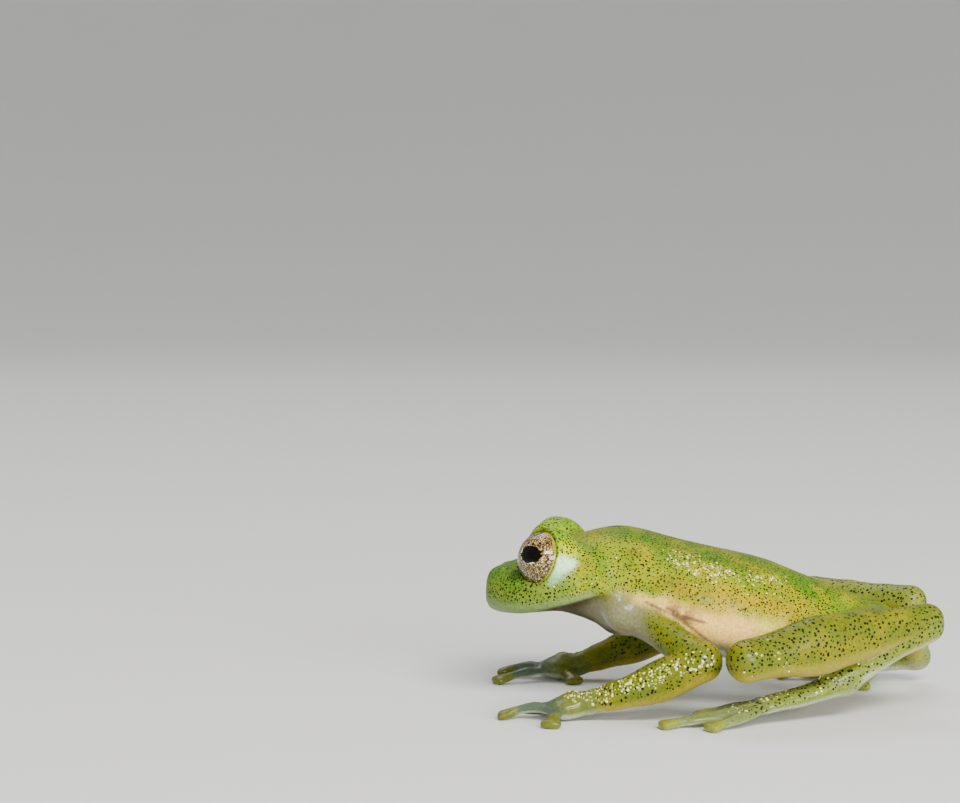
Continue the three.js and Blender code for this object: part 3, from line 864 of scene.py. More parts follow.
def eyeball(side):
    sign = SIDES[side]
    axis, level, up = eye_directions(sign)
    shares = np.arange(1, EYE_RINGS) / EYE_RINGS
    turns = 2 * np.pi * np.arange(EYE_SPOKES) / EYE_SPOKES
    rows = [[axis]]
    for share in shares:
        off, ahead = math.sin(math.pi * share), math.cos(math.pi * share)
        spokes = [math.cos(t) * level + math.sin(t) * up for t in turns]
        rows.append([off * spoke + ahead * axis for spoke in spokes])
    rows.append([-axis])
    places = eye_centre(sign) + EYE_RADIUS * np.vstack(rows)
    last = len(places) - 1
    start = lambda ring: 1 + ring * EYE_SPOKES
    faces = []
    for j in range(EYE_SPOKES):
        k = (j + 1) % EYE_SPOKES
        faces.append((0, start(0) + j, start(0) + k))
        for ring in range(EYE_RINGS - 2):
            a, b = start(ring), start(ring + 1)
            faces.append((a + j, b + j, b + k, a + k))
        back = start(EYE_RINGS - 2)
        faces.append((back + j, last, back + k))
    # The right eye is the mirror image of the left, so its faces run the other way round.
    faces = [face[::sign] for face in faces]
    ball = piece_from(f"eyeball_{side}", mesh_from(f"eyeball_{side}", to_frame(places), faces))
    map_eye(ball.data, shares, turns)
    ball.data.shade_smooth()
    return ball


def map_eye(mesh, shares, turns):
    """Writes the flat front view of the ball as its UV map."""
    flat = [(0.5, 0.5)]
    for share in shares:
        flat += [
            (0.5 + 0.5 * share * math.cos(t), 0.5 + 0.5 * share * math.sin(t)) for t in turns
        ]
    flat.append((0.5, 0.0))
    layer = mesh.uv_layers.new(name="front")
    for loop in mesh.loops:
        layer.data[loop.index].uv = flat[loop.vertex_index]


eyeballs = {side: eyeball(side) for side in SIDES}
print("eyeballs", [len(ball.data.polygons) for ball in eyeballs.values()], "faces each")

# %% [markdown]
# The painter needs to know which part of the body each point of the skin belongs to.
# The forms answer that: a point belongs most to the form that it lies closest to, and
# near a joint it belongs a little to both sides, which keeps every colour edge soft.

# %% Regions of the skin
REGION_BLUR = 0.14
REGIONS = ("trunk", "upper_arm", "forearm", "hand", "thigh", "shank", "tarsus", "foot")


def region_shares(places):
    """How much each point belongs to each region, adding up to one."""
    nearest = {name: np.full(len(places), FAR) for name in REGIONS}
    for region, distance, low, high, _ in forms:
        close = np.flatnonzero(((places > low - 0.5) & (places < high + 0.5)).all(1))
        if len(close):
            nearest[region][close] = np.minimum(nearest[region][close], distance(places[close]))
    table = np.stack([nearest[name] for name in REGIONS], 1)
    weight = np.exp(-(table - table.min(1)[:, None]) / REGION_BLUR)
    weight /= weight.sum(1)[:, None]
    return {name: weight[:, k] for k, name in enumerate(REGIONS)}


def tip_closeness(places, reach):
    """1 at the middle of a finger or toe disc, 0 a reach away from it."""
    tips = [path[2] for side in SIDES for path in finger_paths(side) + toe_paths(side)]
    gaps = np.min([length(places - tip) for tip in tips], axis=0)
    return smoothstep(reach, 0.5 * reach, gaps)


def skin_normals():
    normals = np.empty(3 * len(skin.data.vertices))
    skin.data.vertices.foreach_get("normal", normals)
    return normals.reshape(-1, 3)


share = region_shares(skin_points)
facing = skin_normals()
x, y, z = skin_points.T
outward, upward = facing[:, 0] * np.sign(x), facing[:, 2]
print({name: round(float(part.mean()), 3) for name, part in share.items()})

# %% [markdown]
# Broad colours go on as on a cast model. The back is lime with yellow clouds, the flank
# turns yellow and then creamy pink where the skin has no pigment, and the undersides of
# the limbs are pale. The throat is painted a dark olive, as painted shade under the head.
# Colours are given as on a paint card and turned into the linear values that a shader adds up.

# %% Paint box
def paint(red, green, blue):
    card = np.array([red, green, blue]) / 255
    return np.where(card < 0.04045, card / 12.92, ((card + 0.055) / 1.055) ** 2.4)


LIME = paint(142, 153, 2)
YELLOW = paint(170, 150, 0)
LEAF = paint(72, 126, 12)
LID_YELLOW = paint(198, 211, 0)
LID_GREEN = paint(98, 146, 6)
CREAM = paint(255, 240, 108)
PINK = paint(255, 198, 120)
# Painted shade: the throat colour is dark, standing for the shadow under the head.
SHADED_THROAT = paint(54, 44, 5)
MILK = paint(206, 250, 196)
MILK_GREEN = paint(118, 196, 128)
LIP = paint(124, 144, 84)
CHEEK = paint(124, 143, 46)
SNOUT = paint(108, 130, 36)
SMUDGE = paint(112, 92, 30)
FOLD = paint(128, 82, 68)
SHOULDER = paint(126, 122, 90)
LIMB = paint(104, 110, 16)
LIMB_PALE = paint(160, 148, 46)
SHIN = paint(128, 142, 52)
LIMB_EDGE = paint(186, 192, 164)
GLASS = paint(78, 94, 74)
FOOT_GLASS = paint(112, 124, 70)
DISC = paint(132, 138, 38)
FINGER_PAD = paint(94, 100, 24)
BELLY = paint(140, 154, 130)
WINE = paint(96, 24, 44)
BONE_WHITE = paint(240, 236, 226)
VEIN_RED = paint(180, 60, 60)
GALL = paint(196, 190, 50)
print("lime is", LIME.round(3))

# %% Brushes
tint = np.tile(LIME, (len(skin_points), 1))


def brush(colour, mask):
    """Lays a colour over the skin where the mask is open."""
    global tint
    mask = np.clip(mask, 0, 1)[:, None]
    tint = tint * (1 - mask) + colour * mask


def patch(centre, half, soft=0.6):
    """A soft oval patch, mirrored to both sides of the body."""
    gap = (np.stack([np.abs(x), y, z], 1) - centre) / half
    return smoothstep(1 + soft, 1 - soft, length(gap))


def bell(value, middle, width):
    """1 where the value is at the middle, falling smoothly to both sides."""
    return np.exp(-(((value - middle) / width) ** 2))


def clouds(scale, seed):
    """Soft random light and dark over the skin, between 0 and 1."""
    draw = np.random.default_rng(seed)
    total = np.zeros(len(skin_points))
    for _ in range(9):
        wave = draw.normal(size=3)
        wave *= draw.uniform(0.6, 1.4) * 2 * np.pi / (scale * np.linalg.norm(wave))
        total += np.sin(skin_points @ wave + draw.uniform(0, 2 * np.pi))
    return smoothstep(-3.5, 3.5, total)


print("the ground colour covers", len(tint), "points")

# %% Where the pigment ends
# Height of the pigment's lower edge, along the body.
PIGMENT_EDGE = np.array([
    [-12.2, 5.3], [-10.5, 5.3], [-9.0, 5.4], [-7.6, 5.8], [-6.3, 6.05], [-5.2, 6.1],
    [-3.6, 6.1], [-1.8, 5.8], [0.0, 5.45], [1.7, 5.15], [3.4, 4.85], [6.0, 4.4], [9.6, 3.9],
])
above_edge = z - np.interp(y, *PIGMENT_EDGE.T)
wander = 0.35 * (clouds(1.6, 4) - 0.5)
pigment = smoothstep(-0.45, 0.45, above_edge + wander)
trunk = share["trunk"]
behind_arm = smoothstep(-5.6, -3.8, y)
print("pigment covers", round(float((pigment * trunk).sum() / trunk.sum()), 2), "of the trunk")

# %% Paint the back
# Clouds of yellow and leaf green, then yellow along the neck and the rump.
brush(YELLOW, 0.4 * smoothstep(0.5, 0.85, clouds(3.2, 11)))
brush(LEAF, 0.45 * smoothstep(0.55, 0.85, clouds(2.8, 23)))
brush(YELLOW, 0.55 * patch((0, -3.2, 8.9), (0.8, 2.4, 1.2)) * smoothstep(7.4, 8.2, z))
brush(YELLOW, 0.7 * patch((0.4, 6.0, 6.1), (0.7, 2.2, 0.8)))
# Painted shade: the top of the back is darkened green, as light falls off along it.
# The sides of the rump are a darker green too.
crest_shade = trunk * smoothstep(0.8, 0.94, upward) * smoothstep(-6.6, -4.6, y)
brush(LEAF * 0.8, crest_shade * (0.3 + 0.35 * smoothstep(0.3, 0.8, clouds(1.4, 37))))
rump = patch((1.7, 4.8, 6.3), (0.9, 2.4, 0.7))
brush(LEAF, 0.9 * rump * smoothstep(0.2, 0.6, clouds(1.1, 29)))
# A yellow band runs along the flank, with brown smudges over the shoulder and the arm.
band = bell(above_edge, 0.7, 0.6) * smoothstep(-3.8, -1.5, y) * smoothstep(5.6, 3.2, y)
brush(YELLOW, 0.95 * band)
brush(SMUDGE, 0.55 * patch((2.9, -4.2, 7.8), (0.7, 0.6, 0.6)) * clouds(0.9, 17))
brush(SMUDGE, 0.5 * patch((4.1, -2.2, 6.6), (1.0, 0.9, 0.5)) * clouds(0.9, 18))
print("the dark green crest covers", int((crest_shade > 0.5).sum()), "points")

# %% Paint snout and cheek
face = trunk * smoothstep(-6.6, -7.8, y)
brush(CHEEK, 0.85 * face * smoothstep(7.4, 6.6, z))
brush(SNOUT, 0.8 * face * smoothstep(-8.4, -9.8, y) * smoothstep(7.2, 6.4, z))
brush(LEAF, 0.8 * patch((0.0, -11.2, 6.9), (2.6, 1.3, 0.7)))
brush(LEAF, 0.5 * patch((3.0, -10.4, 6.6), (0.9, 0.9, 0.6)))
# Painted shade: the skin is darkened in the corner just before and under the eye, which shades
# it.
brush(LEAF * 0.25, 0.8 * patch((2.6, -10.15, 6.88), (0.6, 0.5, 0.32)))
print("the face has", int((face > 0.5).sum()), "points")

# %% [markdown]
# Below the edge of the pigment the skin of the flank is bare. It is cream with clouds
# of pink, yellow along its upper border, and creased behind the arm, where it folds
# each time the frog reaches forward. The creases are painted shade: darker lines where
# the folds would lie in shadow, while the shape itself has no folds. They are lines, so
# the painter needs to know how far each point lies from a line.

# %% Paint the flank
def gap_to_line(places, line):
    """How far each place lies from a dense line, or FAR where it is well away."""
    gap = np.full(len(places), FAR)
    close = np.flatnonzero(((places > line.min(0) - 0.8) & (places < line.max(0) + 0.8)).all(1))
    gap[close] = np.sqrt(((places[close][:, None] - line[None]) ** 2).sum(2)).min(1)
    return gap


pale_flank = trunk * (1 - pigment) * behind_arm
rosy = smoothstep(0.35, 0.75, clouds(2.4, 31)) * smoothstep(4.5, 2.0, y)
brush(CREAM, pale_flank)
brush(PINK, 0.75 * pale_flank * rosy)
# Painted shade: throat and breast in front of the arm are painted dark, as shadow under the
# head.
brush(SHADED_THROAT, trunk * (1 - pigment) * (1 - behind_arm))
border = bell(above_edge, 0.1, 0.4) * smoothstep(-3.4, -1.5, y) * smoothstep(5.6, 3.2, y)
brush(YELLOW, 0.55 * trunk * border)
folded = patch((4.5, -2.3, 5.2), (1.2, 1.3, 0.6)) * smoothstep(0.1, 0.6, clouds(0.8, 19))
brush(FOLD, 0.85 * trunk * folded)
# Each crease is a line of y and z.
SHADED_CREASES = [
    [(-3.5, 5.8), (-2.3, 5.3), (-1.1, 4.75)],
    [(-3.2, 5.45), (-2.5, 5.0), (-1.9, 4.5)],
    [(-2.6, 5.65), (-1.6, 5.2), (-0.6, 4.9)],
    [(-1.6, 4.85), (-0.8, 4.3), (-0.1, 3.6)],
]
from_side = np.column_stack([np.where(np.abs(x) > 2.5, y, FAR), z])
# Painted shade: each crease is darkened along its line, where a fold would be shaded.
for crease in SHADED_CREASES:
    line = smooth_path([point(0, *corner) for corner in crease], 50)[:, 1:]
    brush(FOLD * 0.35, 0.8 * trunk * smoothstep(0.11, 0.03, gap_to_line(from_side, line)))
print(len(SHADED_CREASES), "creases behind each arm")

# %% [markdown]
# The face has its own scheme. A milky line follows the upper lip, the lid is the
# brightest green of the whole animal, and below and behind the eye the skin is a
# smooth bluish white, with nothing dark in it. That white is the eyeball seen through
# the thin skin, made brighter with a painted highlight.

# %% Paint the face
mouth_level = np.interp(y, *MOUTH.T)
on_face = smoothstep(-5.5, -6.6, y)
lip_band = smoothstep(0.55, 0.1, z - mouth_level)
brush(LIP, 0.9 * lip_band * on_face * trunk)
under_lip = smoothstep(0.0, -0.12, z - mouth_level)
# Painted shade: the jaw under the lip is painted dark, where the overhanging lip shades it.
brush(SHADED_THROAT, under_lip * on_face * trunk * smoothstep(-9.4, -8.2, y))

lid = np.zeros(len(skin_points))
milky = np.zeros(len(skin_points))
low_milk = np.zeros(len(skin_points))
for sign in SIDES.values():
    axis, level, up = eye_directions(sign)
    offset = skin_points - eye_centre(sign)
    along, beside, over = offset @ axis, offset @ level, offset @ up
    around = np.degrees(np.arctan2(over, beside))
    near_eye = smoothstep(2.2, 1.8, length(offset))
    on_bulge = near_eye * smoothstep(-1.5, -0.8, along)
    upper = smoothstep(-4, 14, around) * smoothstep(175, 140, around)
    lid = np.maximum(lid, on_bulge * upper)
    # The bluish patch is widest straight behind the eye and runs out below it.
    rear_edge = np.interp(around, [-62, -40, -20, 2, 16], [0.46, 0.3, 0.02, -0.66, -0.42])
    low_rear = smoothstep(18, 2, around) * smoothstep(-56, -30, around)
    low_milk = np.maximum(low_milk, near_eye * smoothstep(-12, -38, around))
    bluish = near_eye * low_rear * smoothstep(-0.34, 0.26, along - rear_edge)
    milky = np.maximum(milky, bluish * smoothstep(0.5, 0.44, along))
brush(LID_YELLOW, 0.95 * lid)
brush(LID_GREEN, 0.75 * lid * smoothstep(0.35, 0.8, upward))
# Partly painted highlight: the bluish white behind the eye is the eyeball under thin skin,
# painted brighter as a glint.
brush(MILK, 0.95 * milky)
brush(MILK_GREEN, milky * low_milk)
# A darker green ring marks the edge of the lid.
rim = np.max([
    smoothstep(0.4, 0.48, (skin_points - eye_centre(sign)) @ eye_axis(sign))
    * smoothstep(1.75, 1.62, length(skin_points - eye_centre(sign)))
    for sign in SIDES.values()
], axis=0)
brush(LEAF * 0.6, 0.7 * rim * lid)
print("the lid covers", int((lid > 0.5).sum()), "points")

# %% [markdown]
# On the limbs the pigment is an olive green that runs out towards the underside, along
# the lower edge of the folded shin, and over the shoulder, where the skin is clear.
# Hands and feet are nearly clear too, with yellowish discs at the ends.

# %% Paint the limbs
arms = share["upper_arm"] + share["forearm"]
legs = share["thigh"] + share["shank"] + share["tarsus"]
digits = share["hand"] + share["foot"]
brush(LIMB, arms + legs)
brush(YELLOW, 0.22 * (arms + legs) * smoothstep(0.5, 0.85, clouds(1.9, 51)))
# Painted shade: the legs of the far side are painted a greyer green, as they look in shade; the
# animal is alike on both sides.
brush(SHIN, 0.5 * legs * smoothstep(0.0, -1.5, x))
limb_pale = (arms + legs) * smoothstep(-0.3, -0.8, upward)
limb_pale = np.maximum(limb_pale, share["shank"] * smoothstep(-0.15, -0.7, upward))
# Painted light: the tarsus is painted lighter, to make up for the shade the shank casts on it.
brush(SHIN, 0.8 * share["tarsus"])
brush(LIMB_PALE, 0.95 * limb_pale)
under_shin = upward + 0.35 * smoothstep(7.2, 9.2, y)
silver_edge = smoothstep(-0.05, -0.5, under_shin) * smoothstep(0.0, 1.0, x)
brush(LIMB_EDGE, 0.85 * share["tarsus"] * silver_edge)
print("the pale undersides cover", int((limb_pale > 0.5).sum()), "points")

# %% Paint shoulders, hands and feet
def gap_to_joint(name, step=(0.0, 0.0, 0.0)):
    """How far each point lies from a joint, or a step from it, on the nearer side."""
    out, back, up = step
    return np.min([
        length(skin_points - LIMBS[side][name] - point(out * SIDES[side], back, up))
        for side in SIDES
    ], axis=0)


def along_bone(start, stop):
    """Share of the way along a bone of the nearer side, for every point."""
    shares = []
    for side in SIDES:
        bone = LIMBS[side][stop] - LIMBS[side][start]
        shares.append((skin_points - LIMBS[side][start]) @ bone / (bone @ bone))
    return np.where(x > 0, *shares)


# The clear skin of the shoulder ends on a slant: early on top of the arm, late below.
slant = along_bone("shoulder", "elbow") + 0.26 * upward
bare_arm = share["upper_arm"] * smoothstep(0.62, 0.24, slant)
shoulder_gap = gap_to_joint("shoulder", (0.3, -0.9, -0.3))
ankle_gap = gap_to_joint("ankle")
brush(SHOULDER, bare_arm)
brush(SHOULDER, 0.8 * trunk * (1 - pigment) * smoothstep(2.1, 0.9, shoulder_gap))
brush(GLASS, share["hand"])
brush(FOOT_GLASS, share["foot"])
brush(SHIN * 0.8, share["foot"] * smoothstep(6.6, 3.4, ankle_gap))
brush(LIMB, share["hand"] * smoothstep(2.4, 0.9, gap_to_joint("wrist")))
brush(LIMB_EDGE, 0.8 * digits * smoothstep(-0.3, -0.8, upward))
discs = digits * tip_closeness(skin_points, 1.05)
brush(DISC, 0.9 * discs)
brush(FINGER_PAD, 0.9 * discs * share["hand"])
print("discs cover", int((discs > 0.5).sum()), "points")

# %% [markdown]
# A glass frog is named for its belly, whose skin is so clear that what lies behind it
# shows. Nothing is built inside, so it is painted: a wine-red shadow at the breast, two
# white lobes, a small yellow spot, one red vein, and a net of fine white ones.

# %% Paint the belly
belly = trunk * smoothstep(-0.5, -0.82, upward) * smoothstep(-5.2, -4.2, y)


def belly_oval(cx, cy, half_x, half_y, soft=0.25):
    gap = np.hypot((x - cx) / half_x, (y - cy) / half_y)
    return belly * smoothstep(1 + soft, 1 - soft, gap)


brush(BELLY, 0.9 * belly * smoothstep(9.4, 7.5, y))
brush(WINE, 0.85 * belly_oval(-0.1, -2.4, 1.25, 1.7, 0.35))
brush(BONE_WHITE, belly_oval(0.35, 0.9, 1.25, 1.45) * smoothstep(-0.9, 0.4, y))
brush(BONE_WHITE, belly_oval(1.15, 4.4, 1.45, 2.35))
brush(GALL, belly_oval(1.3, 2.3, 0.8, 0.5, 0.3))


def path_gap(corners):
    """How far each point of the belly lies from a line of x and y drawn on it."""
    line = smooth_path([point(*corner, 0) for corner in corners], 60)[:, :2]
    return gap_to_line(np.column_stack([np.where(belly > 0.02, x, FAR), y]), line)


RED_VEIN = [(0.3, 1.6), (-0.35, 2.0), (-0.62, 3.2), (-0.6, 5.2), (-0.3, 6.8), (-0.25, 8.4)]
brush(VEIN_RED, belly * smoothstep(0.22, 0.08, path_gap(RED_VEIN)))
WHITE_VEINS = [
    [(-1.0, -0.6), (-2.0, -0.1), (-3.0, 0.8), (-4.0, 1.2)],
    [(-1.0, -0.6), (-1.5, 1.2), (-2.3, 2.6), (-2.2, 4.6), (-1.4, 6.4), (-1.0, 7.8)],
    [(-1.5, 1.2), (-2.6, 1.9), (-3.3, 1.8)],
    [(-2.3, 3.2), (-3.3, 3.6), (-4.2, 3.4)],
    [(1.0, -0.4), (2.2, 0.2), (3.2, -0.4), (4.2, -0.6)],
    [(2.2, 0.2), (3.1, 0.6), (3.9, 0.3)],
    [(2.8, 3.0), (3.6, 2.3), (4.3, 2.2)],
    [(2.9, 3.6), (3.6, 3.7), (4.1, 3.2)],
]
white_vein = np.min([path_gap(corners) for corners in WHITE_VEINS], axis=0)
brush(BONE_WHITE, 0.85 * belly * smoothstep(0.2, 0.06, white_vein))
print("the belly covers", int((belly > 0.5).sum()), "points")

# %% [markdown]
# Besides the colours, the skin carries masks that tell the material where its own
# patterns go. Two say how big the dark dots are, one for the coarse dots of the limbs
# and one for the fine dots of trunk and head. The others say how strongly the skin is
# pebbled, how wet it is, and how far a point lies from the dark green spots of the back.

# %% Storing a mask
def store(name, values, kind="FLOAT"):
    """Keeps one value or colour for each point of the skin."""
    layer = skin.data.attributes.new(name, kind, "POINT")
    if kind == "FLOAT":
        layer.data.foreach_set("value", np.asarray(values, np.float32))
    else:
        rgba = np.column_stack([values, np.ones(len(values))]).astype(np.float32)
        layer.data.foreach_set("color", rgba.ravel())


print("the skin has", len(skin.data.attributes), "layers before the masks")

# %% Masks of the pattern
clear_of_pale = (1 - milky) * (1 - 0.8 * smoothstep(0.5, 1.0, lip_band) * on_face) * (1 - belly)
dots_on_trunk = 0.95 * trunk * smoothstep(-0.35, 0.3, above_edge + wander)
dots_on_trunk = np.where(y < -6.6, dots_on_trunk * pigment, dots_on_trunk)
dots_on_limbs = (arms + legs) * (1 - smoothstep(0.0, 0.6, limb_pale)) * (1 - bare_arm)
dots_on_feet = share["foot"] * smoothstep(6.8, 5.2, ankle_gap)
dots_on_hands = 0.8 * share["hand"] * smoothstep(0.9, 1.15, z)
dots_on_digits = (dots_on_feet + dots_on_hands) * smoothstep(-0.4, 0.1, upward)
dots = np.clip(dots_on_limbs + dots_on_digits, 0, 1) * clear_of_pale
on_head = trunk * pigment * smoothstep(-7.6, -9.0, y)
pebbles = np.clip(trunk * pigment + 0.7 * (arms + legs) * (1 - limb_pale), 0, 1) * (1 - milky)
# Spots of the back: place, half width and half length.
SPOTS = [((0.05, -5.3), 0.34, 0.46), ((-0.1, -2.3), 0.24, 0.24), ((0.25, -8.2), 0.26, 0.28)]
spot_gap = np.min([
    np.hypot((x - cx) / wide, (y - cy) / long) for (cx, cy), wide, long in SPOTS
], axis=0)
spot_gap = np.where((z > 6.5) & (trunk > 0.5), spot_gap, FAR)
# The skin is wettest on hands, feet and shoulders.
wet = 0.1 + 0.75 * digits + 0.25 * (arms + legs) + 0.3 * milky + 0.15 * bare_arm
wet += 0.5 * smoothstep(1.8, 0.8, shoulder_gap)

store("tint", tint, "FLOAT_COLOR")
store("wet", np.clip(wet, 0, 1))
# Painted shade: extra dots on the top of the back add to its darkening.
store("dots", np.maximum(dots, 0.65 * crest_shade))
store("fine_dots", dots_on_trunk * (1 + 0.12 * np.maximum(on_head, lid)) * clear_of_pale)
store("pebbles", pebbles)
store("spot_gap", spot_gap)
print("masks", [layer.name for layer in skin.data.attributes if layer.domain == "POINT"])

# %% [markdown]
# In places the skin is strewn with tiny wet warts. They glint like grains of sugar
# along the flank, down the forearm, and here and there on the knee, the shin and the
# cheek. This mask says where they stand, and how close.

# %% Where the warts stand
FLANK_BAND = np.array([
    # y, height of the band's middle, half its width
    [-2.5, 7.95, 0.3], [-1.55, 7.66, 0.42], [-0.46, 7.34, 0.46], [0.86, 7.06, 0.38],
    [1.74, 6.92, 0.3], [3.4, 6.74, 0.16],
])
over_band = z - np.interp(y, *FLANK_BAND[:, :2].T)
flank_warts = trunk * np.exp(-((over_band / np.interp(y, *FLANK_BAND[:, ::2].T)) ** 4))
ends = smoothstep(-2.8, -2.3, y) * smoothstep(4.0, 3.2, y)
flank_warts *= ends * smoothstep(1.4, 2.2, np.abs(x)) * (0.5 + 0.5 * clouds(0.9, 72))
under_band = (
    0.07 * trunk * pigment * smoothstep(-1.5, -0.9, over_band)
    * smoothstep(0.0, -0.3, over_band) * smoothstep(-4.0, -2.5, y) * smoothstep(5.0, 3.5, y)
)
on_cheek = (
    0.06 * trunk * pigment * smoothstep(-9.0, -8.4, y) * smoothstep(-3.4, -4.6, y)
    * (1 - milky) * (1 - lid) * smoothstep(8.3, 7.8, z)
)
sparse = np.maximum(on_cheek, under_band)
print("the flank's band covers", int((flank_warts > 0.3).sum()), "points")

# %% Warts on the limbs
# Stops of a line along the forearm: joint, then the step outward, back and up from it.
FOREARM_STOPS = [
    ("elbow", 0.85, 0.3, 0.3), ("forearm", 0.8, 0.0, 0.55),
    ("wrist", 0.4, 0.0, 0.42), ("palm", 0.2, 0.4, 0.8),
]


def forearm_line(side):
    """A line along the outside of the forearm and over the wrist."""
    limb, sign = LIMBS[side], SIDES[side]
    stops = [
        limb[name] + point(sign * out, back, up) for name, out, back, up in FOREARM_STOPS
    ]
    return smooth_path(stops, 50)


arm_gap = np.min([gap_to_line(skin_points, forearm_line(side)) for side in SIDES], axis=0)
arm_warts = (share["forearm"] + share["hand"]) * smoothstep(0.56, 0.4, arm_gap)
arm_warts *= 0.7 + 0.3 * smoothstep(0.2, 0.6, clouds(0.8, 71))
knee_warts = 0.5 * share["shank"] * smoothstep(0.3, 0.7, outward) * smoothstep(4.4, 2.6, y)
knee_warts *= smoothstep(0.45, 0.75, clouds(1.2, 73))
shin_warts = 0.75 * (share["tarsus"] + 0.6 * share["foot"])
shin_warts *= smoothstep(0.2, 0.6, upward + 0.4 * outward)
over_foot = smoothstep(0.7, 1.0, z) * smoothstep(9.0, 7.0, y)
shin_warts *= over_foot * smoothstep(0.3, 0.6, clouds(1.2, 74))
warts = np.clip(np.max([flank_warts, sparse, arm_warts, knee_warts, shin_warts], axis=0), 0, 1)
warts = np.where(warts > 0.04, warts, 0)
store("warts", warts)
print("warts may stand on", round(float((warts > 0.3).mean()), 3), "of the skin")

# %% [markdown]
# Geometry Nodes strew the warts. They scatter points no closer than a given spacing,
# thinned by the mask, and set one small flattened bead on each point, turned to face
# out of the skin. Random draws with fixed seeds make some bigger or longer than others.
# The beads are realized and given their material in the same tree, because a plain mesh
# is all that is kept.

# %% Node helpers
def add_node(tree, kind, inputs=None, **settings):
    """One node with its settings, and its inputs linked or set."""
    made = tree.nodes.new(kind)
    for name, value in settings.items():
        setattr(made, name, value)
    for name, value in (inputs or {}).items():
        if isinstance(value, bpy.types.NodeSocket):
            tree.links.new(value, made.inputs[name])
        else:
            made.inputs[name].default_value = value
    return made


def new_tree(name, kind, inputs, outputs):
    """A node tree with named sockets, given as name, kind and first value."""
    tree = bpy.data.node_groups.new(name, kind)
    for way, sockets in (("INPUT", inputs), ("OUTPUT", outputs)):
        for label, socket_kind, value in sockets:
            socket = tree.interface.new_socket(
                label, in_out=way, socket_type=f"NodeSocket{socket_kind}"
            )
            if value is not None:
                socket.default_value = value
    return tree, tree.nodes.new("NodeGroupInput"), tree.nodes.new("NodeGroupOutput")


def maths(tree, operation, a, b):
    return add_node(tree, "ShaderNodeMath", {0: a, 1: b}, operation=operation).outputs[0]


def random_number(tree, low, high, seed):
    node = add_node(tree, "FunctionNodeRandomValue", {2: low, 3: high, "Seed": seed})
    return node.outputs[1]


print("helpers add nodes and link them in one call")

# %% Wart tree
WART_SPACING, WART_RADIUS, WART_FLATNESS = 0.115, 0.049, 0.55
PLACE_SEED, STRETCH_SEED, TURN_SEED = 5, 12, 13
# Points for each square metre of skin, before any are thinned out.
MOST_POINTS = 7e7


def wart_tree():
    tree, given, made = new_tree(
        "strewn_warts", "GeometryNodeTree",
        [("Skin", "Geometry", None), ("Spacing", "Float", WART_SPACING * MM),
         ("Radius", "Float", WART_RADIUS * MM), ("Flatness", "Float", WART_FLATNESS),
         ("Seed", "Int", PLACE_SEED), ("Finish", "Material", None)],
        [("Warts", "Geometry", None)],
    )
    seed = given.outputs["Seed"]
    mask = add_node(tree, "GeometryNodeInputNamedAttribute", {"Name": "warts"})
    points = add_node(tree, "GeometryNodeDistributePointsOnFaces", {
        "Mesh": given.outputs["Skin"], "Distance Min": given.outputs["Spacing"],
        "Density Max": MOST_POINTS, "Density Factor": mask.outputs["Attribute"], "Seed": seed,
    }, distribute_method="POISSON")
    bead = add_node(tree, "GeometryNodeMeshUVSphere", {
        "Segments": 9, "Rings": 5, "Radius": given.outputs["Radius"],
    })
    size = random_number(tree, 0.5, 1.6, seed)
    long = maths(tree, "MULTIPLY", size, random_number(tree, 1.0, 1.7, STRETCH_SEED))
    squat = maths(tree, "MULTIPLY", size, given.outputs["Flatness"])
    scale = add_node(tree, "ShaderNodeCombineXYZ", {"X": long, "Y": size, "Z": squat})
    any_turn = random_number(tree, 0.0, 2 * math.pi, TURN_SEED)
    turn = add_node(tree, "ShaderNodeCombineXYZ", {"Z": any_turn})
    turn = add_node(tree, "FunctionNodeEulerToRotation", {0: turn.outputs[0]})
    turned = add_node(tree, "FunctionNodeRotateRotation", {
        0: points.outputs["Rotation"], 1: turn.outputs[0],
    }, rotation_space="LOCAL")
    strewn = add_node(tree, "GeometryNodeInstanceOnPoints", {
        "Points": points.outputs["Points"], "Instance": bead.outputs["Mesh"],
        "Rotation": turned.outputs[0], "Scale": scale.outputs[0],
    })
    real = add_node(tree, "GeometryNodeRealizeInstances", {"Geometry": strewn.outputs[0]})
    smooth = add_node(tree, "GeometryNodeSetShadeSmooth", {"Geometry": real.outputs[0]})
    finish = add_node(tree, "GeometryNodeSetMaterial", {
        "Geometry": smooth.outputs[0], "Material": given.outputs["Finish"],
    })
    tree.links.new(finish.outputs[0], made.inputs["Warts"])
    return tree


def strew_warts(finish):
    """The beads as a plain mesh of their own."""
    beads = piece_from("warts", skin.data.copy())
    modifier = beads.modifiers.new("strew", "NODES")
    modifier.node_group = wart_tree()
    settings = {
        "Spacing": WART_SPACING * MM, "Radius": WART_RADIUS * MM,
        "Flatness": WART_FLATNESS, "Seed": PLACE_SEED, "Finish": finish,
    }
    for item in modifier.node_group.interface.items_tree:
        if item.in_out == "INPUT" and item.name in settings:
            modifier[item.identifier] = settings[item.name]
    return finished(beads)


print("warts are", 2 * WART_RADIUS, "mm wide")

# %% [markdown]
# Three effects are node groups, so that a material can use one of them again with other
# numbers. The first is the dark dots of pigment. A cell pattern in space has one point
# in each cell, and a dot is drawn round the points that lie close to the skin. Its edge
# is measured along the skin, so it is round on every slope. Each cell draws its own size.

# %% Shader helpers
def ramp(tree, value, low, high, start=0.0, stop=1.0):
    """A smooth step of a value, from start to stop."""
    node = add_node(tree, "ShaderNodeMapRange", {
        "Value": value, "From Min": low, "From Max": high, "To Min": start, "To Max": stop,
    }, interpolation_type="SMOOTHSTEP")
    return node.outputs["Result"]


def vector_maths(tree, operation, a, b):
    return add_node(tree, "ShaderNodeVectorMath", {0: a, 1: b}, operation=operation).outputs[0]


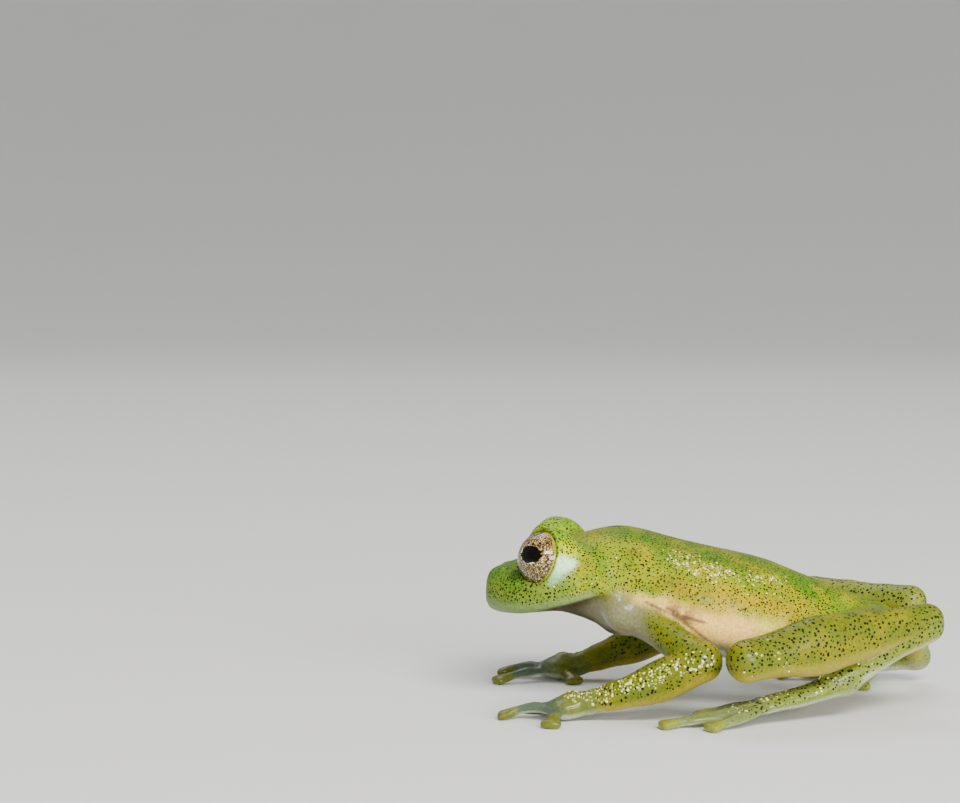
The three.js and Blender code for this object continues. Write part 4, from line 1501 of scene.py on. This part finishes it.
def vector_product(tree, a, b):
    node = add_node(tree, "ShaderNodeVectorMath", {0: a, 1: b}, operation="DOT_PRODUCT")
    return node.outputs["Value"]


def mix(tree, factor, a, b, way="MIX"):
    node = add_node(tree, "ShaderNodeMix", {
        "Factor": factor, 6: a, 7: b,
    }, data_type="RGBA", blend_type=way)
    return node.outputs[2]


def noise(tree, where, scale, detail=2.0, roughness=0.5):
    node = add_node(tree, "ShaderNodeTexNoise", {
        "Vector": where, "Scale": scale, "Detail": detail, "Roughness": roughness,
    })
    return node.outputs["Fac"]


print("helpers for ramps, mixes and noise")

# %% Dots group
# Cells in each metre, and the radius of a dot in metres.
COARSE_DOTS = {"Cells": 4000.0, "Radius": 0.000067}
FINE_DOTS = {"Cells": 5400.0, "Radius": 0.000055}
DOT_SIZES = (0.75, 1.2)
DOT_SOFTNESS = 0.000012
# How far from the skin the point of a dot may lie, in cells.
DOT_DEPTH, DOT_TOO_DEEP = 0.4, 0.46


def dots_group():
    tree, given, made = new_tree(
        "pigment_dots", "ShaderNodeTree",
        [("Amount", "Float", 1.0), ("Cells", "Float", COARSE_DOTS["Cells"]),
         ("Radius", "Float", COARSE_DOTS["Radius"])],
        [("Dots", "Float", None)],
    )
    place = add_node(tree, "ShaderNodeTexCoord").outputs["Object"]
    cells = add_node(tree, "ShaderNodeTexVoronoi", {
        "Vector": place, "Scale": given.outputs["Cells"], "Randomness": 0.85,
    }).outputs
    # The way to the cell's point, split into a part out of the skin and a part along it.
    offset = vector_maths(tree, "SUBTRACT", cells["Position"], place)
    normal = add_node(tree, "ShaderNodeNewGeometry").outputs["Normal"]
    rise = vector_product(tree, offset, normal)
    squared = vector_product(tree, offset, offset)
    beside = maths(tree, "SUBTRACT", squared, maths(tree, "MULTIPLY", rise, rise))
    beside = maths(tree, "SQRT", beside, 0.0)
    draw = add_node(tree, "ShaderNodeSeparateColor", {"Color": cells["Color"]}).outputs["Red"]
    size = ramp(tree, draw, 0.0, 1.0, *DOT_SIZES)
    radius = maths(tree, "MULTIPLY", given.outputs["Radius"], size)
    radius = maths(tree, "MULTIPLY", radius, given.outputs["Amount"])
    spot = ramp(tree, maths(tree, "SUBTRACT", radius, beside), 0.0, DOT_SOFTNESS)
    depth = maths(tree, "MULTIPLY", maths(tree, "ABSOLUTE", rise, 0.0), given.outputs["Cells"])
    near_skin = ramp(tree, depth, DOT_TOO_DEEP, DOT_DEPTH)
    tree.links.new(maths(tree, "MULTIPLY", spot, near_skin), made.inputs["Dots"])
    return tree


print("coarse dots are", 2000 * COARSE_DOTS["Radius"], "mm wide")

# %% [markdown]
# The second group gives fine light and dark and broad drifts of colour. The third gives
# the height of a skin covered in low, close pebbles: a cell pattern again, with a dome
# in each cell. Height isn't built as shape here, because the pebbles are too small to
# show in the outline.

# %% Mottling and pebbling groups
def mottle_group():
    """Fine light and dark, and broad drifts, both round one half."""
    tree, given, made = new_tree(
        "mottling", "ShaderNodeTree",
        [("Grains", "Float", 7000.0), ("Drifts", "Float", 900.0)],
        [("Grain", "Float", None), ("Drift", "Float", None)],
    )
    place = add_node(tree, "ShaderNodeTexCoord").outputs["Object"]
    tree.links.new(noise(tree, place, given.outputs["Grains"], 2.0, 0.6), made.inputs["Grain"])
    tree.links.new(noise(tree, place, given.outputs["Drifts"], 3.0, 0.55), made.inputs["Drift"])
    return tree


def pebble_group():
    """The height of a skin covered in low, close pebbles."""
    tree, given, made = new_tree(
        "pebbled_skin", "ShaderNodeTree",
        [("Pebbles", "Float", 1.0), ("Cells", "Float", 7000.0)],
        [("Height", "Float", None)],
    )
    place = add_node(tree, "ShaderNodeTexCoord").outputs["Object"]
    cells = add_node(tree, "ShaderNodeTexVoronoi", {
        "Vector": place, "Scale": given.outputs["Cells"],
    }).outputs
    dome = ramp(tree, cells["Distance"], 0.0, 0.7, 1.0, 0.0)
    soft = noise(tree, place, 2600.0, 3.0, 0.6)
    both = maths(tree, "MULTIPLY", dome, given.outputs["Pebbles"])
    both = maths(tree, "ADD", both, maths(tree, "MULTIPLY", soft, 0.6))
    tree.links.new(both, made.inputs["Height"])
    return tree


GROUPS = {"dots": dots_group(), "mottle": mottle_group(), "pebble": pebble_group()}
print("node groups", list(GROUPS))

# %% [markdown]
# The skin itself is one material. Light goes a little way into it, so subsurface
# scattering has a reach of half a millimetre, red further than blue. A thin coat with
# its own gloss is the moisture. The numbers that hold all over are set on the shader,
# and only colour, roughness, moisture and height come through nodes.

# %% Material helpers
def new_material(name):
    made = bpy.data.materials.new(name)
    made.use_nodes = True
    return made, made.node_tree, made.node_tree.nodes["Principled BSDF"]


def attribute(tree, name, colour=False):
    node = add_node(tree, "ShaderNodeAttribute", attribute_name=name, attribute_type="GEOMETRY")
    return node.outputs["Color" if colour else "Fac"]


def use_group(tree, name, inputs=None):
    return add_node(tree, "ShaderNodeGroup", inputs, node_tree=GROUPS[name]).outputs


def set_shader(shader, values):
    for name, value in values.items():
        shader.inputs[name].default_value = value


def opaque(colour):
    return (*colour, 1)


print("helpers for materials")

# %% Moist skin
SPOT_GREEN, DOT_BROWN = paint(20, 70, 30), paint(16, 20, 5)


def skin_colour(tree, mottle, pebbles):
    """The painted colour with its grain and drifts, and the spots and dots over it."""
    grain = ramp(tree, mottle["Grain"], 0.35, 0.65, 0.82, 1.12)
    colour = mix(tree, 1.0, attribute(tree, "tint", True), grain, "MULTIPLY")
    drift = ramp(tree, mottle["Drift"], 0.4, 0.75, 0.0, 0.4)
    colour = mix(tree, maths(tree, "MULTIPLY", drift, pebbles), colour, opaque(LEAF * 0.8))
    ragged = ramp(tree, mottle["Grain"], 0.3, 0.7, -0.25, 0.25)
    edge = maths(tree, "ADD", attribute(tree, "spot_gap"), ragged)
    colour = mix(tree, ramp(tree, edge, 1.15, 0.85, 0.0, 0.9), colour, opaque(SPOT_GREEN))
    dots = use_group(tree, "dots", {"Amount": attribute(tree, "dots"), **COARSE_DOTS})
    fine = use_group(tree, "dots", {"Amount": attribute(tree, "fine_dots"), **FINE_DOTS})
    both = maths(tree, "MAXIMUM", dots["Dots"], fine["Dots"])
    return mix(tree, both, colour, opaque(DOT_BROWN))


def moist_skin():
    made, tree, shader = new_material("moist_skin")
    mottle = use_group(tree, "mottle")
    pebbles = attribute(tree, "pebbles")
    film = ramp(tree, mottle["Drift"], 0.4, 0.6, 0.35, 1.0)
    film = maths(tree, "MULTIPLY", attribute(tree, "wet"), film)
    relief = add_node(tree, "ShaderNodeBump", {
        "Height": use_group(tree, "pebble", {"Pebbles": pebbles})["Height"],
        "Strength": 0.8, "Distance": 0.000022,
    })
    rough = ramp(tree, mottle["Grain"], 0.3, 0.7, 0.4, 0.6)
    tree.links.new(skin_colour(tree, mottle, pebbles), shader.inputs["Base Color"])
    tree.links.new(rough, shader.inputs["Roughness"])
    tree.links.new(film, shader.inputs["Coat Weight"])
    tree.links.new(relief.outputs["Normal"], shader.inputs["Normal"])
    set_shader(shader, {
        "Subsurface Weight": 0.35, "Subsurface Radius": (1.0, 0.8, 0.4),
        "Subsurface Scale": 0.0005,
        "IOR": 1.4, "Specular IOR Level": 0.15, "Coat Roughness": 0.1, "Coat IOR": 1.36,
    })
    return made


skin.data.materials.append(moist_skin())
print("skin material", skin.data.materials[0].name)

# %% [markdown]
# A wart is a bead of clear skin. Its material is brighter and glossier than the skin
# round it, and varies from bead to bead between yellow-green and ivory. The ivory is a
# painted glint, a white that stands for the light the wet beads catch.

# %% Wet warts
# Painted highlight: the ivory stands for the glint of light on the wet beads.
WART_GREEN, WART_GLINT_IVORY = paint(150, 160, 24), paint(252, 246, 164)


def wet_warts():
    made, tree, shader = new_material("wet_warts")
    grain = use_group(tree, "mottle", {"Grains": 3500.0})["Grain"]
    colour = mix(tree, ramp(tree, grain, 0.44, 0.56), opaque(WART_GREEN), opaque(WART_GLINT_IVORY))
    tree.links.new(colour, shader.inputs["Base Color"])
    tree.links.new(ramp(tree, grain, 0.3, 0.7, 0.12, 0.22), shader.inputs["Roughness"])
    set_shader(shader, {
        "Subsurface Weight": 0.3, "Subsurface Radius": (1.0, 0.9, 0.5),
        "Subsurface Scale": 0.0002,
        "Coat Weight": 0.9, "Coat Roughness": 0.05,
    })
    return made


warts_piece = strew_warts(wet_warts())
print("the warts have", len(warts_piece.data.polygons), "faces")

# %% [markdown]
# The eye is drawn on its flat map, in millimetres from the line of sight. The iris is a
# pinkish cream under a net of brown threads. The pupil is a level black oval a little
# to the rear, with a thin pale margin that is broken in places. A clear coat over all
# of it is the cornea, which catches the lamp.

# %% Iris
IRIS_CREAM, IRIS_ORANGE = paint(250, 224, 144), paint(214, 158, 92)
IRIS_GOLD, EYE_RIM = paint(222, 168, 24), paint(176, 176, 30)
THREAD_BROWN, DUST_BROWN = paint(30, 14, 4), paint(40, 22, 6)
MARGIN_CREAM = paint(250, 240, 200)


def flat_map(tree):
    """Places on the front of the eye, in millimetres from the line of sight."""
    flat = add_node(tree, "ShaderNodeUVMap", uv_map="front").outputs["UV"]
    size = 2 * math.pi * EYE_RADIUS
    from_middle = vector_maths(tree, "SUBTRACT", flat, (0.5, 0.5, 0))
    return vector_maths(tree, "MULTIPLY", from_middle, (size, size, 0))


def reach_of(tree, vector):
    node = add_node(tree, "ShaderNodeVectorMath", {0: vector}, operation="LENGTH")
    return node.outputs["Value"]


def iris_colours(tree, flat):
    """Pinkish cream under a net of brown threads, orange above, gold below."""
    over = add_node(tree, "ShaderNodeSeparateXYZ", {0: flat}).outputs["Y"]
    wander = ramp(tree, noise(tree, flat, 1.6, 2.0), 0.3, 0.7, -0.6, 0.6)
    warm = ramp(tree, maths(tree, "ADD", over, wander), 0.1, 1.1, 0.0, 0.6)
    colour = mix(tree, warm, opaque(IRIS_CREAM), opaque(IRIS_ORANGE))
    gold = ramp(tree, noise(tree, flat, 3.4, 2.0), 0.46, 0.6)
    colour = mix(tree, maths(tree, "MULTIPLY", gold, 0.75), colour, opaque(IRIS_GOLD))
    bent = add_node(tree, "ShaderNodeTexNoise", {"Vector": flat, "Scale": 5.0}).outputs["Color"]
    bent = vector_maths(tree, "MULTIPLY", bent, (0.25, 0.25, 0.25))
    cells = add_node(tree, "ShaderNodeTexVoronoi", {
        "Vector": vector_maths(tree, "ADD", flat, bent), "Scale": 9.0,
    }, feature="DISTANCE_TO_EDGE").outputs["Distance"]
    broken = ramp(tree, noise(tree, flat, 5.0, 3.0), 0.3, 0.4)
    threads = maths(tree, "MULTIPLY", ramp(tree, cells, 0.24, 0.1), broken)
    colour = mix(tree, threads, colour, opaque(THREAD_BROWN))
    # The dust of dark grains is thickest at the bottom of the eye.
    low = ramp(tree, over, 0.2, -1.2, 0.0, 0.06)
    dust = ramp(tree, maths(tree, "ADD", noise(tree, flat, 13.0, 2.0, 0.7), low), 0.5, 0.56)
    return mix(tree, maths(tree, "MULTIPLY", dust, 0.9), colour, opaque(DUST_BROWN))


print("the iris is drawn", round(math.pi * EYE_RADIUS, 2), "mm out from the middle")

# %% Eye finish
PUPIL_HALF = (0.66, 0.45)
PUPIL_PLACE = (0.4, 0.06)
PUPIL_BLACK = (0.0008, 0.0008, 0.0008)
IRIS_REACH = 1.74


def eye_finish():
    made, tree, shader = new_material("wet_eye")
    flat = flat_map(tree)
    from_pupil = vector_maths(tree, "SUBTRACT", flat, (*PUPIL_PLACE, 0))
    oval = vector_maths(tree, "MULTIPLY", from_pupil, (1 / PUPIL_HALF[0], 1 / PUPIL_HALF[1], 0))
    wobble = ramp(tree, noise(tree, flat, 4.0, 3.0, 0.6), 0.3, 0.7, -0.1, 0.1)
    oval = maths(tree, "ADD", reach_of(tree, oval), wobble)
    colour = iris_colours(tree, flat)
    broken = ramp(tree, noise(tree, flat, 2.4, 1.0), 0.5, 0.58)
    margin = maths(tree, "MULTIPLY", ramp(tree, oval, 1.18, 1.08), broken)
    colour = mix(tree, margin, colour, opaque(MARGIN_CREAM))
    colour = mix(tree, ramp(tree, oval, 1.05, 1.0), colour, opaque(PUPIL_BLACK))
    rim_of_iris = ramp(tree, reach_of(tree, flat), IRIS_REACH - 0.06, IRIS_REACH + 0.04)
    colour = mix(tree, rim_of_iris, colour, opaque(EYE_RIM))
    rough = ramp(tree, noise(tree, flat, 11.0, 3.0), 0.3, 0.7, 0.3, 0.5)
    tree.links.new(colour, shader.inputs["Base Color"])
    tree.links.new(rough, shader.inputs["Roughness"])
    tree.links.new(ramp(tree, oval, 1.0, 1.05, 0.4, 1.0), shader.inputs["Coat Weight"])
    set_shader(shader, {"Specular IOR Level": 0.05, "Coat Roughness": 0.02, "Coat IOR": 1.55})
    return made


wet_eye = eye_finish()
for ball in eyeballs.values():
    ball.data.materials.append(wet_eye)
print("eye material", wet_eye.name)

# %% [markdown]
# The stage is a pale sweep, turned on a lathe: a flat floor that curves up into a round
# wall, so that no corner or horizon shows from any side. Three soft lamps and a pale
# sky light it. The key stands above the camera and to its right, and shows as the bar
# of light in the eye. A low fill reaches the flank under it, and the third lamp keeps
# the far side from going dark.

# %% Stage
FLOOR_REACH, CORNER, WALL_TOP = 0.45, 0.7, 1.8
STAGE_SIDES = 128


def stage_profile():
    corner = [
        (FLOOR_REACH + CORNER * math.sin(a), CORNER * (1 - math.cos(a)))
        for a in np.linspace(0, math.pi / 2, 33)
    ]
    floor = [(FLOOR_REACH * k / 4, 0.0) for k in range(1, 4)]
    return floor + corner + [(FLOOR_REACH + CORNER, WALL_TOP)]


def pale_sweep():
    profile = stage_profile()
    places = [(0.0, 0.0, 0.0)]
    for reach, height in profile:
        for j in range(STAGE_SIDES):
            turn = 2 * math.pi * j / STAGE_SIDES
            places.append((reach * math.cos(turn), reach * math.sin(turn), height))
    faces = []
    for j in range(STAGE_SIDES):
        k = (j + 1) % STAGE_SIDES
        faces.append((0, 1 + j, 1 + k))
        for row in range(len(profile) - 1):
            a = 1 + row * STAGE_SIDES
            faces.append((a + j, a + STAGE_SIDES + j, a + STAGE_SIDES + k, a + k))
    sweep = piece_from("pale_sweep", mesh_from("pale_sweep", np.array(places), faces))
    sweep.data.shade_smooth()
    return sweep


sweep = pale_sweep()
pale_paper, _, paper = new_material("pale_paper")
set_shader(paper, {
    "Base Color": (0.84, 0.84, 0.82, 1), "Roughness": 0.75, "Specular IOR Level": 0.2,
})
sweep.data.materials.append(pale_paper)
print("the sweep is", 2 * (FLOOR_REACH + CORNER), "m across")

# %% Lamps
LAMPS_AIM = Vector((0, 0, 0.004))


def lamp(name, place, size, watts, colour=(1, 1, 1)):
    light = bpy.data.lights.new(name, "AREA")
    light.shape, light.size, light.size_y = "RECTANGLE", *size
    light.energy, light.color = watts, colour
    holder = bpy.data.objects.new(name, light)
    holder.location = place
    toward = LAMPS_AIM - Vector(place)
    holder.rotation_euler = toward.to_track_quat("-Z", "Y").to_euler()
    bpy.context.scene.collection.objects.link(holder)


lamp("key", (0.35, 0.11, 0.27), (0.26, 0.1), 2.85, (1.0, 0.98, 0.95))
lamp("low_fill", (0.3, 0.2, 0.09), (0.2, 0.1), 1.2)
lamp("far_side", (-0.24, -0.1, 0.42), (0.3, 0.3), 0.8)
sky = bpy.data.worlds.new("pale_sky")
sky.use_nodes = True
set_shader(sky.node_tree.nodes["Background"], {"Color": (0.95, 0.97, 1.0, 1), "Strength": 0.42})
bpy.context.scene.world = sky
print("three lamps and a pale sky")

# %% [markdown]
# Last, each piece is told what it stands for. The skin takes the place of every solid
# of flesh, each eyeball takes the place of its own solid, and the warts ride along.

# %% Hand over
flesh = [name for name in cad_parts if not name.startswith("eye_")]
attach(skin, "root")
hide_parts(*flesh)
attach(warts_piece, "root")
for side, ball in eyeballs.items():
    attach(ball, "root")
    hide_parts(f"eye_{side}")
